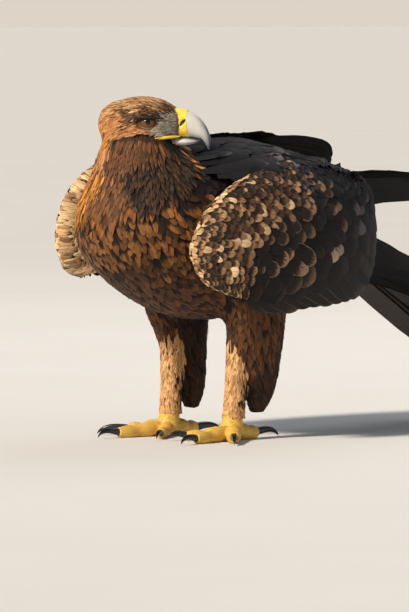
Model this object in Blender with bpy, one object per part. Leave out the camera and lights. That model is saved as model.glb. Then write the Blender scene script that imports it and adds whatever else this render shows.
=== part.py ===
"""Golden eagle standing with half-lowered wings and its head turned over its left shoulder.

Frame: metres, +Z up, the bird faces -Y, its left side is +X, and the floor is Z = 0.
Every size below is in millimetres and is turned into metres when a mesh is made.
"""

import math

import bmesh
import bpy
import numpy as np

MM = 0.001
GAP = 0.3

# Torso stations along Y: place, top, bottom, half width
TORSO = (
    (-164, 240, 222, 14),
    (-158, 254, 206, 30),
    (-146, 269, 190, 47),
    (-125, 286, 174, 64),
    (-95, 304, 154, 80),
    (-60, 316, 137, 89),
    (-20, 323, 128, 92),
    (20, 325, 128, 90),
    (60, 316, 135, 80),
    (100, 295, 152, 64),
    (135, 268, 178, 45),
    (158, 247, 203, 27),
)
# Neck stations upwards: height, forward place, sideways place, half depth, half width
NECK = (
    (205, -72, 0, 66, 64),
    (240, -82, 0, 72, 68),
    (262, -86, 0, 68, 64),
    (280, -88, 1, 62, 58),
    (298, -91, 2, 54, 51),
    (316, -94, 3, 46, 44),
    (330, -95, 4, 36, 35),
)
NECK_TOP = 319
# Head stations along its own forward axis: place, half width, top, bottom
HEAD = (
    (-47, 10, 9, -7),
    (-43, 18, 17, -17),
    (-34, 26, 24, -27),
    (-20, 32, 28, -34),
    (-4, 35, 30, -38),
    (10, 34, 29, -37),
    (21, 29, 26, -32),
    (31, 22, 21, -24),
    (39, 17, 15, -19),
    (44, 14, 12, -16),
)
HEAD_CENTRE = (4, -94, 341)
HEAD_TURN = 122
HEAD_LIFT = 3
EYE_RADIUS = 9.0
EYE_PLACE = (12.5, 24.0, 0.5)
ORBIT_RADII = (13, 8, 9)
LID_RADIUS = 1.3
LID_HEIGHT = 5.2
LID_CLEAR = 0.5
BROW_RADIUS = 3.6
# Upper bill stations: culmen forward, culmen height, edge forward, edge height, half width
BILL = (
    (37, 14.5, 36, -15.5, 13.0),
    (44, 13.5, 44, -15.5, 12.2),
    (50, 11.5, 50, -16, 11.2),
    (56, 8.5, 56, -17, 9.8),
    (62, 4.0, 61, -18.5, 8.3),
    (67.5, -2.5, 64.5, -19.5, 6.6),
    (71.5, -10, 66.5, -21.5, 5.0),
    (73.8, -18, 68.3, -25, 3.6),
    (73.6, -25, 70.0, -28.5, 2.3),
    (72.4, -31, 71.0, -31.5, 0.9),
)
BILL_FULLNESS = 0.8
CERE_STATIONS = 3
LOWER_BILL = (
    (33, -17.5, 33, -25, 10.5),
    (44, -17.8, 44, -25.5, 9.0),
    (53, -18.8, 52, -25, 7.0),
    (60, -20.0, 59, -23.5, 4.2),
    (63, -20.8, 62.5, -22.2, 1.6),
)
LIP = ((9, -17.5, 27.5), (18, -16.9, 26.4), (28, -16.2, 21.0), (38, -15.4, 14.2))
LIP_SWELL = (0.8, 1.0, 1.1, 1.2)
LIP_RADIUS = 1.9
BILL_CLEAR = 1.0
CERE_END = 0.15
NOSTRIL = (47.2, 13.0, -1.2)
NOSTRIL_SLANT = 52
NOSTRIL_RADII = (3.4, 4.6, 1.2)

# Wing shell: half-ellipsoid over the bird's side, X as a function of Y and Z
SHELL_CORE = 38
SHELL_BULGE = 106
SHELL_MIDDLE_Y = 14
SHELL_HALF_TOP = 128
SHELL_TUCK = 0.12
SHELL_DROP = 57
# Flow lines from the leading edge to the feather tips: share, lead Y, lead Z, tip Y, tip Z
WINGS = {
    "left": {
        "side": 1,
        "middle": 195,
        "reach": (188, 202),
        "flow": (
            (0.00, -71, 158, -14, 142),
            (0.12, -100, 171, 28, 136),
            (0.22, -114, 192, 66, 142),
            (0.34, -117, 218, 104, 144),
            (0.46, -92, 258, 138, 147),
            (0.58, -44, 289, 162, 155),
            (0.72, 20, 309, 178, 176),
            (0.86, 80, 302, 184, 206),
            (1.00, 130, 280, 186, 236),
        ),
    },
    "right": {
        "side": -1,
        "middle": 214,
        "reach": (196, 300),
        "flow": (
            (0.00, -75, 170, 10, 160),
            (0.12, -108, 180, 60, 172),
            (0.22, -124, 199, 108, 190),
            (0.34, -130, 222, 150, 210),
            (0.46, -120, 255, 188, 234),
            (0.58, -94, 285, 222, 256),
            (0.72, -46, 307, 250, 276),
            (0.86, 22, 319, 268, 294),
            (1.00, 90, 318, 262, 312),
        ),
    },
}
FLOW_BOW = 10
ARM_END = 0.42
ARM_OUTER = 4.2
ARM_INNER = 40
ARM_THINNING = 0.35
ARM_NOSE = 0.10
RISE_END = 0.75
ARM_LINES = (0, 0.1, 0.2, 0.3, 0.4, 0.5, 0.6, 0.7, 0.8, 0.9, 1)

LESSER_ROWS = (0.05, 0.15)
LESSER_COUNT = 8
LESSER = {"length": 0.13, "half": 9.5, "thick": 0.7}
MEDIAN = {"count": 9, "root": 0.27, "tip": 0.44, "half": 13, "thick": 0.8}
GREATER = {"count": 9, "root": 0.375, "tip": 0.68, "half": 15.5, "thick": 0.9}
SECONDARY = {"count": 10, "root": 0.44, "half": 27, "thick": 0.8, "step": 1.35, "first": 11.8}
SECONDARY_BAR = (0.405, 0.475, 10.4, 27.2)
PRIMARY_BAR = (0.405, 0.53, 27.6, 37.0)
PRIMARY_START = 0.5
PRIMARY_BAND = (1, 5)
PRIMARY = {"half": 22, "thick": 0.8, "step": 1.25, "shift": 1.1, "cup": 0.8}
COURSE_STEPS = 8
# Course of the folded primaries: side, Y, Z, fan upwards, lean of the vane's plane in degrees from upright
PRIMARY_COURSE = {
    "left": ((88, 85, 194, 6), (65, 190, 190, 18), (62, 330, 142, 40), (54, 452, 90, 50)),
    "right": ((92, 110, 224, 6), (74, 210, 250, 14), (62, 330, 268, 32), (50, 478, 258, 46)),
}
PRIMARY_LENGTHS = (0.62, 0.70, 0.78, 0.86, 0.93, 0.98, 1.0, 0.94)

TAIL_ROOT = (0, 150, 226)
TAIL_SLOPE = 29.5
TAIL_LENGTH = 318
TAIL = {"pairs": 6, "half": 24, "thick": 0.9, "step": 1.35, "fan": 1.5}
TAIL_BASE = (27, 15, 42)
TAIL_COVERTS = {"count": 5, "half": 15, "thick": 0.9}

HIP_SIDE = 52
# Feathered thigh stations downwards: height, Y, half depth, half width
THIGH = (
    (214, 12, 40, 30),
    (186, 12, 47, 34),
    (160, 13, 46, 33),
    (136, 16, 40, 29),
    (112, 21, 33, 24),
    (88, 25, 27, 20),
    (64, 28, 22, 16),
    (44, 29, 16, 12),
    (30, 29, 8, 7),
)
THIGH_OUT = 8
# Feathered shank stations downwards: height, Y, half depth, half width
SHANK = (
    (140, 8, 9, 9),
    (116, 3, 14, 13),
    (90, 1, 14, 12.5),
    (62, -1, 12.5, 11.5),
    (38, -3, 12, 11.5),
    (24, -4, 12.5, 12),
)
SHANK_END = 25.5
FOOT_CENTRE_Y = -5
FOOT_SIDE = 50
FOOT_TURN = 8
BALL_RADII = (15, 17, 12)
BALL_HEIGHT = 11.2
# Toes: name, bearing from straight ahead, length, root radius, end radius, claw length
TOES = (
    ("middle", 2, 66, 8.2, 6.4, 33),
    ("inner", 40, 46, 8.6, 7.2, 42),
    ("outer", -44, 50, 7.6, 6.0, 28),
    ("hind", 176, 36, 8.8, 7.6, 46),
)
TOE_SINK = 1.4
CLAW_CLEAR = 0.6

COLOURS = {
    "plumage": ((0.10, 0.055, 0.03), 0.8),
    "nape": ((0.42, 0.22, 0.08), 0.8),
    "shank": ((0.45, 0.26, 0.11), 0.85),
    "flight": ((0.035, 0.024, 0.02), 0.6),
    "horn": ((0.20, 0.21, 0.23), 0.3),
    "cere": ((0.85, 0.58, 0.06), 0.45),
    "toe": ((0.80, 0.56, 0.10), 0.55),
    "claw": ((0.02, 0.02, 0.022), 0.25),
    "eye": ((0.22, 0.10, 0.02), 0.1),
}


def clear_scene():
    for old in list(bpy.data.objects):
        bpy.data.objects.remove(old, do_unlink=True)


def material(name):
    """The plain finish of one kind of surface."""
    found = bpy.data.materials.get(name)
    if found:
        return found
    colour, roughness = COLOURS[name]
    made = bpy.data.materials.new(name)
    made.use_nodes = True
    shader = made.node_tree.nodes["Principled BSDF"]
    shader.inputs["Base Color"].default_value = (*colour, 1)
    shader.inputs["Roughness"].default_value = roughness
    return made


def add_mesh(name, points, faces, finish):
    """A mesh object in metres from points in millimetres."""
    mesh = bpy.data.meshes.new(name)
    mesh.from_pydata((np.asarray(points, float) * MM).tolist(), [], [tuple(map(int, f)) for f in faces])
    made = bpy.data.objects.new(name, mesh)
    mesh.materials.append(material(finish))
    bpy.context.scene.collection.objects.link(made)
    shape = bmesh.new()
    shape.from_mesh(mesh)
    bmesh.ops.triangulate(shape, faces=shape.faces[:], quad_method="FIXED")
    bmesh.ops.recalc_face_normals(shape, faces=shape.faces[:])
    shape.to_mesh(mesh)
    shape.free()
    return made


def ring_faces(rings, sides, ladder=False):
    """Quads between neighbouring rings, and each end closed by a fan.

    A thin strip is a ladder: its ends have rungs across the ring, and both of its faces are split
    into triangles along the same diagonals, so that they stay apart where the strip twists.
    """
    faces = []
    for ring in range(rings - 1):
        for side in range(sides):
            after = (side + 1) % sides
            low = ring * sides
            high = low + sides
            if ladder and side < sides // 2:
                faces.append((low + side, low + after, high + after))
                faces.append((low + side, high + after, high + side))
            elif ladder:
                faces.append((low + side, low + after, high + side))
                faces.append((low + after, high + after, high + side))
            else:
                faces.append((low + side, low + after, high + after, high + side))
    first, last = rings * sides, rings * sides + 1
    end = (rings - 1) * sides
    if ladder:
        for side in range(sides // 2 - 1):
            near = (side, side + 1, sides - 2 - side, sides - 1 - side)
            faces.append(near[::-1])
            faces.append(tuple(end + corner for corner in near))
        return faces
    for side in range(sides):
        after = (side + 1) % sides
        faces.append((first, after, side))
        faces.append((last, end + side, end + after))
    return faces


def tube(name, rings, finish, ladder=False):
    """A closed body through rings of points, an array of ring, side and coordinate."""
    rings = np.asarray(rings, float)
    count, sides = rings.shape[:2]
    points = rings.reshape(-1, 3)
    if not ladder:
        points = np.concatenate([points, rings[:1].mean(1), rings[-1:].mean(1)])
    return add_mesh(name, points, ring_faces(count, sides, ladder), finish)


def smooth(table, places):
    """Catmull-Rom values of every further column of a table at places in its first column."""
    table = np.asarray(table, float)
    keys, values = table[:, 0], table[:, 1:]
    slope = np.gradient(values, keys, axis=0)
    at = np.clip(np.searchsorted(keys, places) - 1, 0, len(keys) - 2)
    span = (keys[at + 1] - keys[at])[:, None]
    u = (np.asarray(places, float)[:, None] - keys[at][:, None]) / span
    u = np.clip(u, 0, 1)
    return (
        (2 * u**3 - 3 * u**2 + 1) * values[at]
        + (u**3 - 2 * u**2 + u) * span * slope[at]
        + (3 * u**2 - 2 * u**3) * values[at + 1]
        + (u**3 - u**2) * span * slope[at + 1]
    )


def refine(table, count, ends=0.0):
    """Places along a table's first column, drawn towards its ends by the given share."""
    first, last = table[0][0], table[-1][0]
    even = np.linspace(0, 1, count)
    eased = (1 - np.cos(math.pi * even)) / 2
    return first + (last - first) * ((1 - ends) * even + ends * eased)


def use_modifier(target, kind, **settings):
    """Adds a modifier, applies it and keeps the result as the object's mesh."""
    made = target.modifiers.new(kind.lower(), kind)
    for key, value in settings.items():
        setattr(made, key, value)
    bpy.context.view_layer.update()
    graph = bpy.context.evaluated_depsgraph_get()
    shape = bpy.data.meshes.new_from_object(target.evaluated_get(graph))
    target.modifiers.clear()
    old, target.data = target.data, shape
    shape.name = target.name
    bpy.data.meshes.remove(old)
    return target


def grown(target, by=GAP):
    """A copy whose surface stands out by the gap, to cut a neighbour with."""
    twin = target.copy()
    twin.data = target.data.copy()
    bpy.context.scene.collection.objects.link(twin)
    return use_modifier(twin, "DISPLACE", strength=by * MM, mid_level=0)


def cut(target, *tools, solver="MANIFOLD"):
    """Takes the tools' space out of the target and removes the tools."""
    for tool in tools:
        use_modifier(target, "BOOLEAN", operation="DIFFERENCE", object=tool, solver=solver)
        bpy.data.objects.remove(tool, do_unlink=True)
    return keep_largest(target)


def clear_of(target, *others):
    """Cuts the target back by the gap from each of its neighbours."""
    return cut(target, *[grown(other) for other in others])


def join(target, pieces, solver="MANIFOLD"):
    """Fuses closed pieces into the target by one Boolean union."""
    if not pieces:
        return target
    group = bpy.data.collections.new(target.name + "_pieces")
    bpy.context.scene.collection.children.link(group)
    for piece in pieces:
        bpy.context.scene.collection.objects.unlink(piece)
        group.objects.link(piece)
    use_modifier(
        target, "BOOLEAN", operation="UNION", operand_type="COLLECTION", collection=group, solver=solver
    )
    for piece in pieces:
        bpy.data.objects.remove(piece, do_unlink=True)
    bpy.data.collections.remove(group)
    return keep_largest(target)


def keep_largest(target):
    """Leaves only the largest closed surface of a mesh."""
    shape = bmesh.new()
    shape.from_mesh(target.data)
    left = set(shape.verts)
    groups = []
    while left:
        seed = left.pop()
        group, front = {seed}, [seed]
        while front:
            near = {edge.other_vert(v) for v in front for edge in v.link_edges} & left
            left -= near
            group |= near
            front = list(near)
        groups.append(group)
    if len(groups) > 1:
        groups.sort(key=reach_of)
        bmesh.ops.delete(shape, geom=[v for g in groups[:-1] for v in g], context="VERTS")
    bmesh.ops.triangulate(shape, faces=shape.faces[:])
    shape.to_mesh(target.data)
    shape.free()
    return target


def reach_of(group):
    """Size of a set of vertices: its box's diagonal."""
    spots = np.array([v.co for v in group])
    return float(np.linalg.norm(np.ptp(spots, axis=0)))


def oval(radii_right, radii_up, radii_down, sides, power=2.2):
    """Unit-plane outline: across and up, with its own upper and lower half."""
    turn = np.linspace(0, 2 * math.pi, sides, endpoint=False)
    c, s = np.cos(turn), np.sin(turn)
    across = np.sign(c) * np.abs(c) ** (2 / power) * radii_right
    up = np.sign(s) * np.abs(s) ** (2 / power)
    return across, np.where(up > 0, up * radii_up, up * radii_down)


def torso_rings(count, sides):
    places = refine(TORSO, count, 0.5)
    rings = []
    for y, (top, bottom, half) in zip(places, smooth(TORSO, places)):
        middle = 0.5 * (top + bottom)
        across, up = oval(half, top - middle, middle - bottom, sides)
        rings.append(np.stack([across, np.full(sides, y), middle + up], 1))
    return np.array(rings)


def make_torso():
    return tube("torso", torso_rings(14, 22), "plumage")


def neck_rings(count, sides):
    places = refine(NECK, count)
    rings = []
    for z, (y, x, deep, wide) in zip(places, smooth(NECK, places)):
        across, along = oval(wide, deep, deep, sides, 2.0)
        rings.append(np.stack([x + across, y + along, np.full(sides, z)], 1))
    return np.array(rings)


def make_neck(torso):
    neck = tube("neck", neck_rings(9, 18), "nape")
    lid = block((HEAD_CENTRE[0], HEAD_CENTRE[1], NECK_TOP - GAP / 2 + 50), (100, 100, 50))
    cut(neck, lid)
    return clear_of(neck, torso)


def block(centre, half):
    """A plain box, used only to cut with."""
    corners = np.array([(x, y, z) for x in (-1, 1) for y in (-1, 1) for z in (-1, 1)], float)
    faces = ((0, 1, 3, 2), (4, 6, 7, 5), (0, 4, 5, 1), (2, 3, 7, 6), (0, 2, 6, 4), (1, 5, 7, 3))
    return add_mesh("block", np.array(centre) + corners * np.array(half), faces, "plumage")


def head_axes():
    """The head's forward, left and up directions."""
    turn, lift = math.radians(HEAD_TURN), math.radians(HEAD_LIFT)
    ahead = np.array([math.sin(turn), -math.cos(turn), 0.0])
    left = np.array([math.cos(turn), math.sin(turn), 0.0])
    up = np.array([0.0, 0.0, 1.0])
    return (
        ahead * math.cos(lift) + up * math.sin(lift),
        left,
        up * math.cos(lift) - ahead * math.sin(lift),
    )


def on_head(points):
    """Head coordinates, forward, left and up, turned into the bird's frame."""
    return np.array(HEAD_CENTRE) + np.asarray(points, float) @ np.array(head_axes())


def head_rings(count, sides):
    places = refine(HEAD, count, 0.6)
    rings = []
    for ahead, (half, top, bottom) in zip(places, smooth(HEAD, places)):
        across, up = oval(half, top, -bottom, sides)
        rings.append(on_head(np.stack([np.full(sides, ahead), across, up], 1)))
    return np.array(rings)


def ball(centre, radii, finish="plumage", rings=8, sides=12, place=on_head):
    """An ellipsoid in head coordinates unless another placing is named."""
    lat = np.linspace(0, math.pi, rings + 1)[1:-1]
    turn = np.linspace(0, 2 * math.pi, sides, endpoint=False)
    unit = np.stack(
        [
            np.cos(lat)[:, None] + 0 * turn,
            np.sin(lat)[:, None] * np.cos(turn),
            np.sin(lat)[:, None] * np.sin(turn),
        ],
        -1,
    )
    points = np.concatenate([unit.reshape(-1, 3), [[1, 0, 0], [-1, 0, 0]]])
    faces = ring_faces(rings - 1, sides)
    return add_mesh("ball", place(np.array(centre) + points * np.array(radii)), faces, finish)


def same(points):
    return np.asarray(points, float)


def rod(name, path, radii, finish, sides=8, place=same):
    """A round rod of varying radius along a path."""
    path = np.asarray(path, float)
    along = np.gradient(path, axis=0)
    along /= np.linalg.norm(along, axis=1)[:, None]
    guide = np.array([0.0, 0.0, 1.0])
    if np.abs(along @ guide).max() > 0.9:
        guide = np.array([0.0, 1.0, 0.0])
    first = np.cross(along, guide)
    first /= np.linalg.norm(first, axis=1)[:, None]
    second = np.cross(first, along)
    turn = np.linspace(0, 2 * math.pi, sides, endpoint=False)
    radii = np.broadcast_to(np.asarray(radii, float), len(path))[:, None, None]
    rings = path[:, None] + radii * (
        np.cos(turn)[:, None] * first[:, None] + np.sin(turn)[:, None] * second[:, None]
    )
    return tube(name, place(rings), finish)


def bill_rings(stations, sides=12):
    """Rings across the bill from the culmen round to the cutting edge, in head coordinates."""
    table = np.asarray(stations, float)
    rings = []
    turn = np.linspace(0, 2 * math.pi, sides, endpoint=False)
    for top_f, top_u, low_f, low_u, half in table:
        top, low = np.array([top_f, top_u]), np.array([low_f, low_u])
        middle, rise = (top + low) / 2, (top - low) / 2
        side = half * np.sign(np.cos(turn)) * np.abs(np.cos(turn)) ** BILL_FULLNESS
        flat = middle + np.sin(turn)[:, None] * rise
        rings.append(np.stack([flat[:, 0], side, flat[:, 1]], 1))
    return np.array(rings)


def bill_piece(name, stations, finish):
    return tube(name, on_head(bill_rings(stations)), finish)


def between(stations, share, at):
    """The station part of the way from one listed station to the next."""
    low, high = np.array(stations[at]), np.array(stations[at + 1])
    return tuple(low + share * (high - low))


def lip(side):
    """The yellow flange that runs back from the bill along the mouth to below the eye."""
    path = [(f, side * l, u) for f, u, l in LIP]
    radii = np.array(LIP_SWELL) * LIP_RADIUS
    return rod("lip", path, radii, "cere", place=on_head, sides=6)


def nostril(side):
    """A slanting slot in the side of the cere, as a cutter."""
    slant = math.radians(NOSTRIL_SLANT)

    def place(points):
        ahead, out, up = np.moveaxis(points, -1, 0)
        turned = (
            NOSTRIL[0] + ahead * math.cos(slant) - up * math.sin(slant),
            side * NOSTRIL[1] + out,
            NOSTRIL[2] + ahead * math.sin(slant) + up * math.cos(slant),
        )
        return on_head(np.stack(turned, -1))

    return ball((0, 0, 0), NOSTRIL_RADII, "cere", rings=6, sides=8, place=place)


def make_bill():
    """Cere with its lips and nostrils, horn hook and lower bill, in three nodes."""
    split = CERE_STATIONS - 1
    cere = bill_piece("cere", BILL[:split + 1] + (between(BILL, CERE_END, split),), "cere")
    join(cere, [lip(1), lip(-1)])
    cut(cere, nostril(1), nostril(-1), solver="MANIFOLD")
    hook_start = between(BILL, CERE_END + GAP / 6, split)
    hook = bill_piece("bill_hook", (hook_start,) + BILL[split + 1:], "horn")
    lower = bill_piece("bill_lower", LOWER_BILL, "horn")
    return cere, hook, lower


def lid_ring(side):
    """A raised ring of bare skin round the eye."""
    centre = np.array(EYE_PLACE) * (1, side, 1)
    turn = np.linspace(0, 2 * math.pi, 12, endpoint=False)
    height = LID_HEIGHT
    around = math.sqrt(EYE_RADIUS**2 - height**2) + LID_CLEAR
    cross = np.linspace(0, 2 * math.pi, 5, endpoint=False)
    radius = around + LID_RADIUS * np.cos(cross)[None]
    out = height + LID_RADIUS * np.sin(cross)[None] - 0.3
    points = np.stack(
        [
            1.12 * radius * np.cos(turn)[:, None],
            side * (out + 0 * turn[:, None]),
            0.93 * radius * np.sin(turn)[:, None],
        ],
        -1,
    )
    rings, sides = points.shape[:2]
    faces = [
        (r * sides + s, r * sides + (s + 1) % sides,
         (r + 1) % rings * sides + (s + 1) % sides, (r + 1) % rings * sides + s)
        for r in range(rings)
        for s in range(sides)
    ]
    return add_mesh("lid", on_head(centre + points.reshape(-1, 3)), faces, "plumage")


def brow(side):
    """The bony ledge that shades the eye."""
    path = [(-5, 31.5, 7.0), (4, 31.5, 9.3), (14, 28.6, 10.2), (23, 23.5, 9.4), (31, 18, 7.6)]
    radii = np.array([0.45, 0.95, 1.1, 0.95, 0.5]) * BROW_RADIUS
    return rod("brow", [(f, side * l, u) for f, l, u in path], radii, "plumage", sides=6, place=on_head)


def make_head(neck_line, cere, lower):
    """The feathered head with orbits, lids and brows, cut to meet the neck and the bill."""
    head = tube("head", head_rings(12, 18), "nape")
    nape = neck_rings(9, 18)
    upper = nape[np.min(nape[:, :, 2], axis=1) > neck_line - 12]
    join(head, [tube("nape", upper, "nape")])
    cut(head, block((HEAD_CENTRE[0], HEAD_CENTRE[1], neck_line + GAP / 2 - 60), (100, 100, 60)))
    for side in (1, -1):
        eye = np.array(EYE_PLACE) * (1, side, 1)
        hollow = ball((eye[0] + 1, side * 36.5, eye[2] - 0.5), ORBIT_RADII)
        cut(head, hollow)
        join(head, [brow(side), lid_ring(side)])
        cut(head, ball(eye, [EYE_RADIUS + GAP] * 3, rings=8, sides=12))
    cut(head, grown(cere), grown(lower))
    return head


def make_eyes():
    names = {1: "eye_left", -1: "eye_right"}
    eyes = []
    for side, name in names.items():
        eye = ball(np.array(EYE_PLACE) * (1, side, 1), [EYE_RADIUS] * 3, "eye", rings=8, sides=12)
        eye.name = name
        eyes.append(eye)
    return eyes


def shell_x(y, z, wing):
    """How far out from the midline the wing's outer face lies."""
    reach = np.where(y < SHELL_MIDDLE_Y, *wing["reach"])
    along = np.sqrt(np.clip(1 - ((y - SHELL_MIDDLE_Y) / reach) ** 2, 0.004, 1))
    over, under = np.maximum(z - wing["middle"], 0), np.maximum(wing["middle"] - z, 0)
    above = np.sqrt(np.clip(1 - (over / SHELL_HALF_TOP) ** 2, 0.004, 1))
    below = 1 - SHELL_TUCK * (under / SHELL_DROP) ** 2
    return SHELL_CORE + SHELL_BULGE * along * above * below


def shell(y, z, depth, wing):
    """Point on the wing shell, moved inwards along its normal by the depth, on the wing's side."""
    y, z = np.asarray(y, float), np.asarray(z, float)
    slope_y = (shell_x(y + 1, z, wing) - shell_x(y - 1, z, wing)) / 2
    slope_z = (shell_x(y, z + 1, wing) - shell_x(y, z - 1, wing)) / 2
    normal = np.stack([np.ones_like(slope_y), -slope_y, -slope_z], -1)
    normal /= np.linalg.norm(normal, axis=-1)[..., None]
    face = np.stack([shell_x(y, z, wing), y, z], -1)
    return (face - np.asarray(depth, float)[..., None] * normal) * (wing["side"], 1, 1)


def flow(s, t, wing):
    """Side-view place at share s along flow line t, from the leading edge to the tips."""
    s, t = np.broadcast_arrays(np.asarray(s, float), np.asarray(t, float))
    lines = smooth(wing["flow"], t.ravel()).T.reshape(4, *t.shape)
    lead_y, lead_z, tip_y, tip_z = lines
    bow = FLOW_BOW * np.sin(math.pi * np.clip(s, 0, 1))
    return lead_y + s * (tip_y - lead_y), lead_z + s * (tip_z - lead_z) + bow


def arm_profile(s):
    """Outer and inner depth of the fleshy arm, closing in a round nose at the leading edge."""
    swell = np.sqrt(np.clip(1 - (1 - np.clip(s / ARM_NOSE, 0, 1)) ** 2, 0, 1))
    middle = 0.4 * (ARM_OUTER + ARM_INNER)
    outer = middle + (ARM_OUTER - middle) * swell
    return outer, np.maximum(middle + (ARM_INNER - middle) * swell, outer + 1.5)


def make_arm(name, wing):
    """The shoulder, forearm and wrist under the coverts, as one thick curved patch."""
    s = np.concatenate([[0.0, 0.012, 0.04, 0.09], np.linspace(0.16, ARM_END, 4)])
    t = np.array(ARM_LINES)
    outer, inner = arm_profile(s)
    grid_t, grid_s = np.meshgrid(t, s, indexing="ij")
    y, z = flow(grid_s, grid_t, wing)
    thin = 1 - ARM_THINNING * grid_t**2
    top = shell(y, z, outer + 0 * grid_t, wing)
    low = shell(y, z, outer + (inner - outer) * thin, wing)
    rings = np.concatenate([top, low[:, ::-1]], axis=1)
    return tube(name, rings, "plumage", ladder=True)


def vane_widths(q, half):
    """Half width of a feather along its length, rounded at the tip."""
    table = ((0, 0.42), (0.3, 0.82), (0.6, 1.0), (0.84, 0.92), (0.95, 0.66), (1.0, 0.3))
    keys, shares = zip(*table)
    return half * np.interp(q, keys, shares)


def shell_vane(wing, s_range, t_range, depth, half, thick, steps, tilt=0.0, finish="plumage"):
    """A feather lying along the wing shell, a flat closed strip whose edges follow the shell."""
    q = np.array(steps, float)
    s = s_range[0] + q * (s_range[1] - s_range[0])
    t = t_range[0] + q * (t_range[1] - t_range[0])
    y, z = flow(s, t, wing)
    centre = shell(y, z, 0 * y, wing)
    along = np.gradient(centre, axis=0)
    out = np.cross(shell(y + 0.5, z, 0 * y, wing) - centre, shell(y, z + 0.5, 0 * y, wing) - centre)
    across = np.cross(out, along)
    across /= np.linalg.norm(across, axis=1)[:, None]
    wide = vane_widths(q, half)
    deep = depth[0] + np.minimum(q / RISE_END, 1) * (depth[1] - depth[0])
    columns = (-1, 0, 1) if half > 16 else (-1, 1)
    upper, lower = [], []
    for column in columns:
        side_y = y + column * wide * across[:, 1]
        side_z = z + column * wide * across[:, 2]
        level = deep + tilt * column
        upper.append(shell(side_y, side_z, level, wing))
        lower.append(shell(side_y, side_z, level + thick, wing))
    rings = np.stack(upper + lower[::-1], 1)
    return tube("vane", rings, finish, ladder=True)


def lesser_coverts(wing):
    """Rows of small rounded coverts over the wrist and shoulder."""
    vanes = []
    for row, start in enumerate(LESSER_ROWS):
        shift = 0.5 * (row % 2) / LESSER_COUNT
        for place in np.linspace(0.05, 0.93, LESSER_COUNT) + shift:
            vanes.append(
                shell_vane(
                    wing,
                    (start, start + LESSER["length"]),
                    (place, place),
                    (6.2, 0.9),
                    LESSER["half"],
                    LESSER["thick"],
                    (0, 0.6, 1),
                )
            )
    return vanes


def larger_coverts(wing, kind, tilt):
    """One row of median or greater coverts, each edge lying over its lower neighbour."""
    vanes = []
    for place in np.linspace(0.04, 0.92, kind["count"]):
        vanes.append(
            shell_vane(
                wing,
                (kind["root"], kind["tip"]),
                (place, place),
                (5.6, 1.2),
                kind["half"],
                kind["thick"],
                (0, 0.75, 1),
                tilt,
            )
        )
    return vanes


def cover_wing(side, arm):
    """Lays the rows of coverts on the arm."""
    wing = WINGS[side]
    rows = lesser_coverts(wing)
    rows += larger_coverts(wing, MEDIAN, -0.8)
    rows += larger_coverts(wing, GREATER, -0.8)
    return join(arm, rows)


def shell_bar(name, wing, span, band):
    """A block of the shell's own curve in which a row of quills is rooted."""
    s0, s1, outer, inner = span
    rings = []
    for place in ARM_LINES[band[0]:band[1]]:
        s = np.array([s0, s1, s1, s0])
        y, z = flow(s, np.full(4, place), wing)
        low = outer + (inner - outer) * (1 - ARM_THINNING * place**2)
        rings.append(shell(y, z, np.array([outer, outer, low, low], float), wing))
    return tube(name, rings, "flight", ladder=True)


def make_secondaries(side, arm):
    """The flight feathers of the forearm, stacked from the innermost on top to the outermost."""
    wing = WINGS[side]
    bar = shell_bar("secondaries_" + side, wing, SECONDARY_BAR, (0, 10))
    vanes = []
    places = np.linspace(0.065, 0.885, SECONDARY["count"])
    for number, place in enumerate(places[::-1]):
        level = SECONDARY["first"] + number * SECONDARY["step"]
        vanes.append(
            shell_vane(
                wing,
                (SECONDARY["root"], 0.995),
                (place, place),
                (level, level),
                SECONDARY["half"],
                SECONDARY["thick"],
                (0, 0.6, 0.92, 1),
                finish="flight",
            )
        )
    return clear_of(join(bar, vanes), arm)


def course_frame(course):
    """The primaries' course at even places, as centre, direction across the vanes and face normal."""
    table = [(k / (len(course) - 1),) + row for k, row in enumerate(course)]
    places = np.linspace(0, 1, COURSE_STEPS)
    fine = np.linspace(0, 1, 121)
    values = smooth(table, fine)
    centre, lean = values[:, :3], np.radians(values[:, 3])
    along = np.gradient(centre, axis=0)
    along /= np.linalg.norm(along, axis=1)[:, None]
    outward = np.stack([np.cos(lean), 0 * lean, np.sin(lean)], 1)
    outward -= (outward * along).sum(1)[:, None] * along
    outward /= np.linalg.norm(outward, axis=1)[:, None]
    picks = np.searchsorted(fine, places - 1e-9)
    return places, np.stack([centre[picks], np.cross(outward, along)[picks], outward[picks]])


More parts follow.
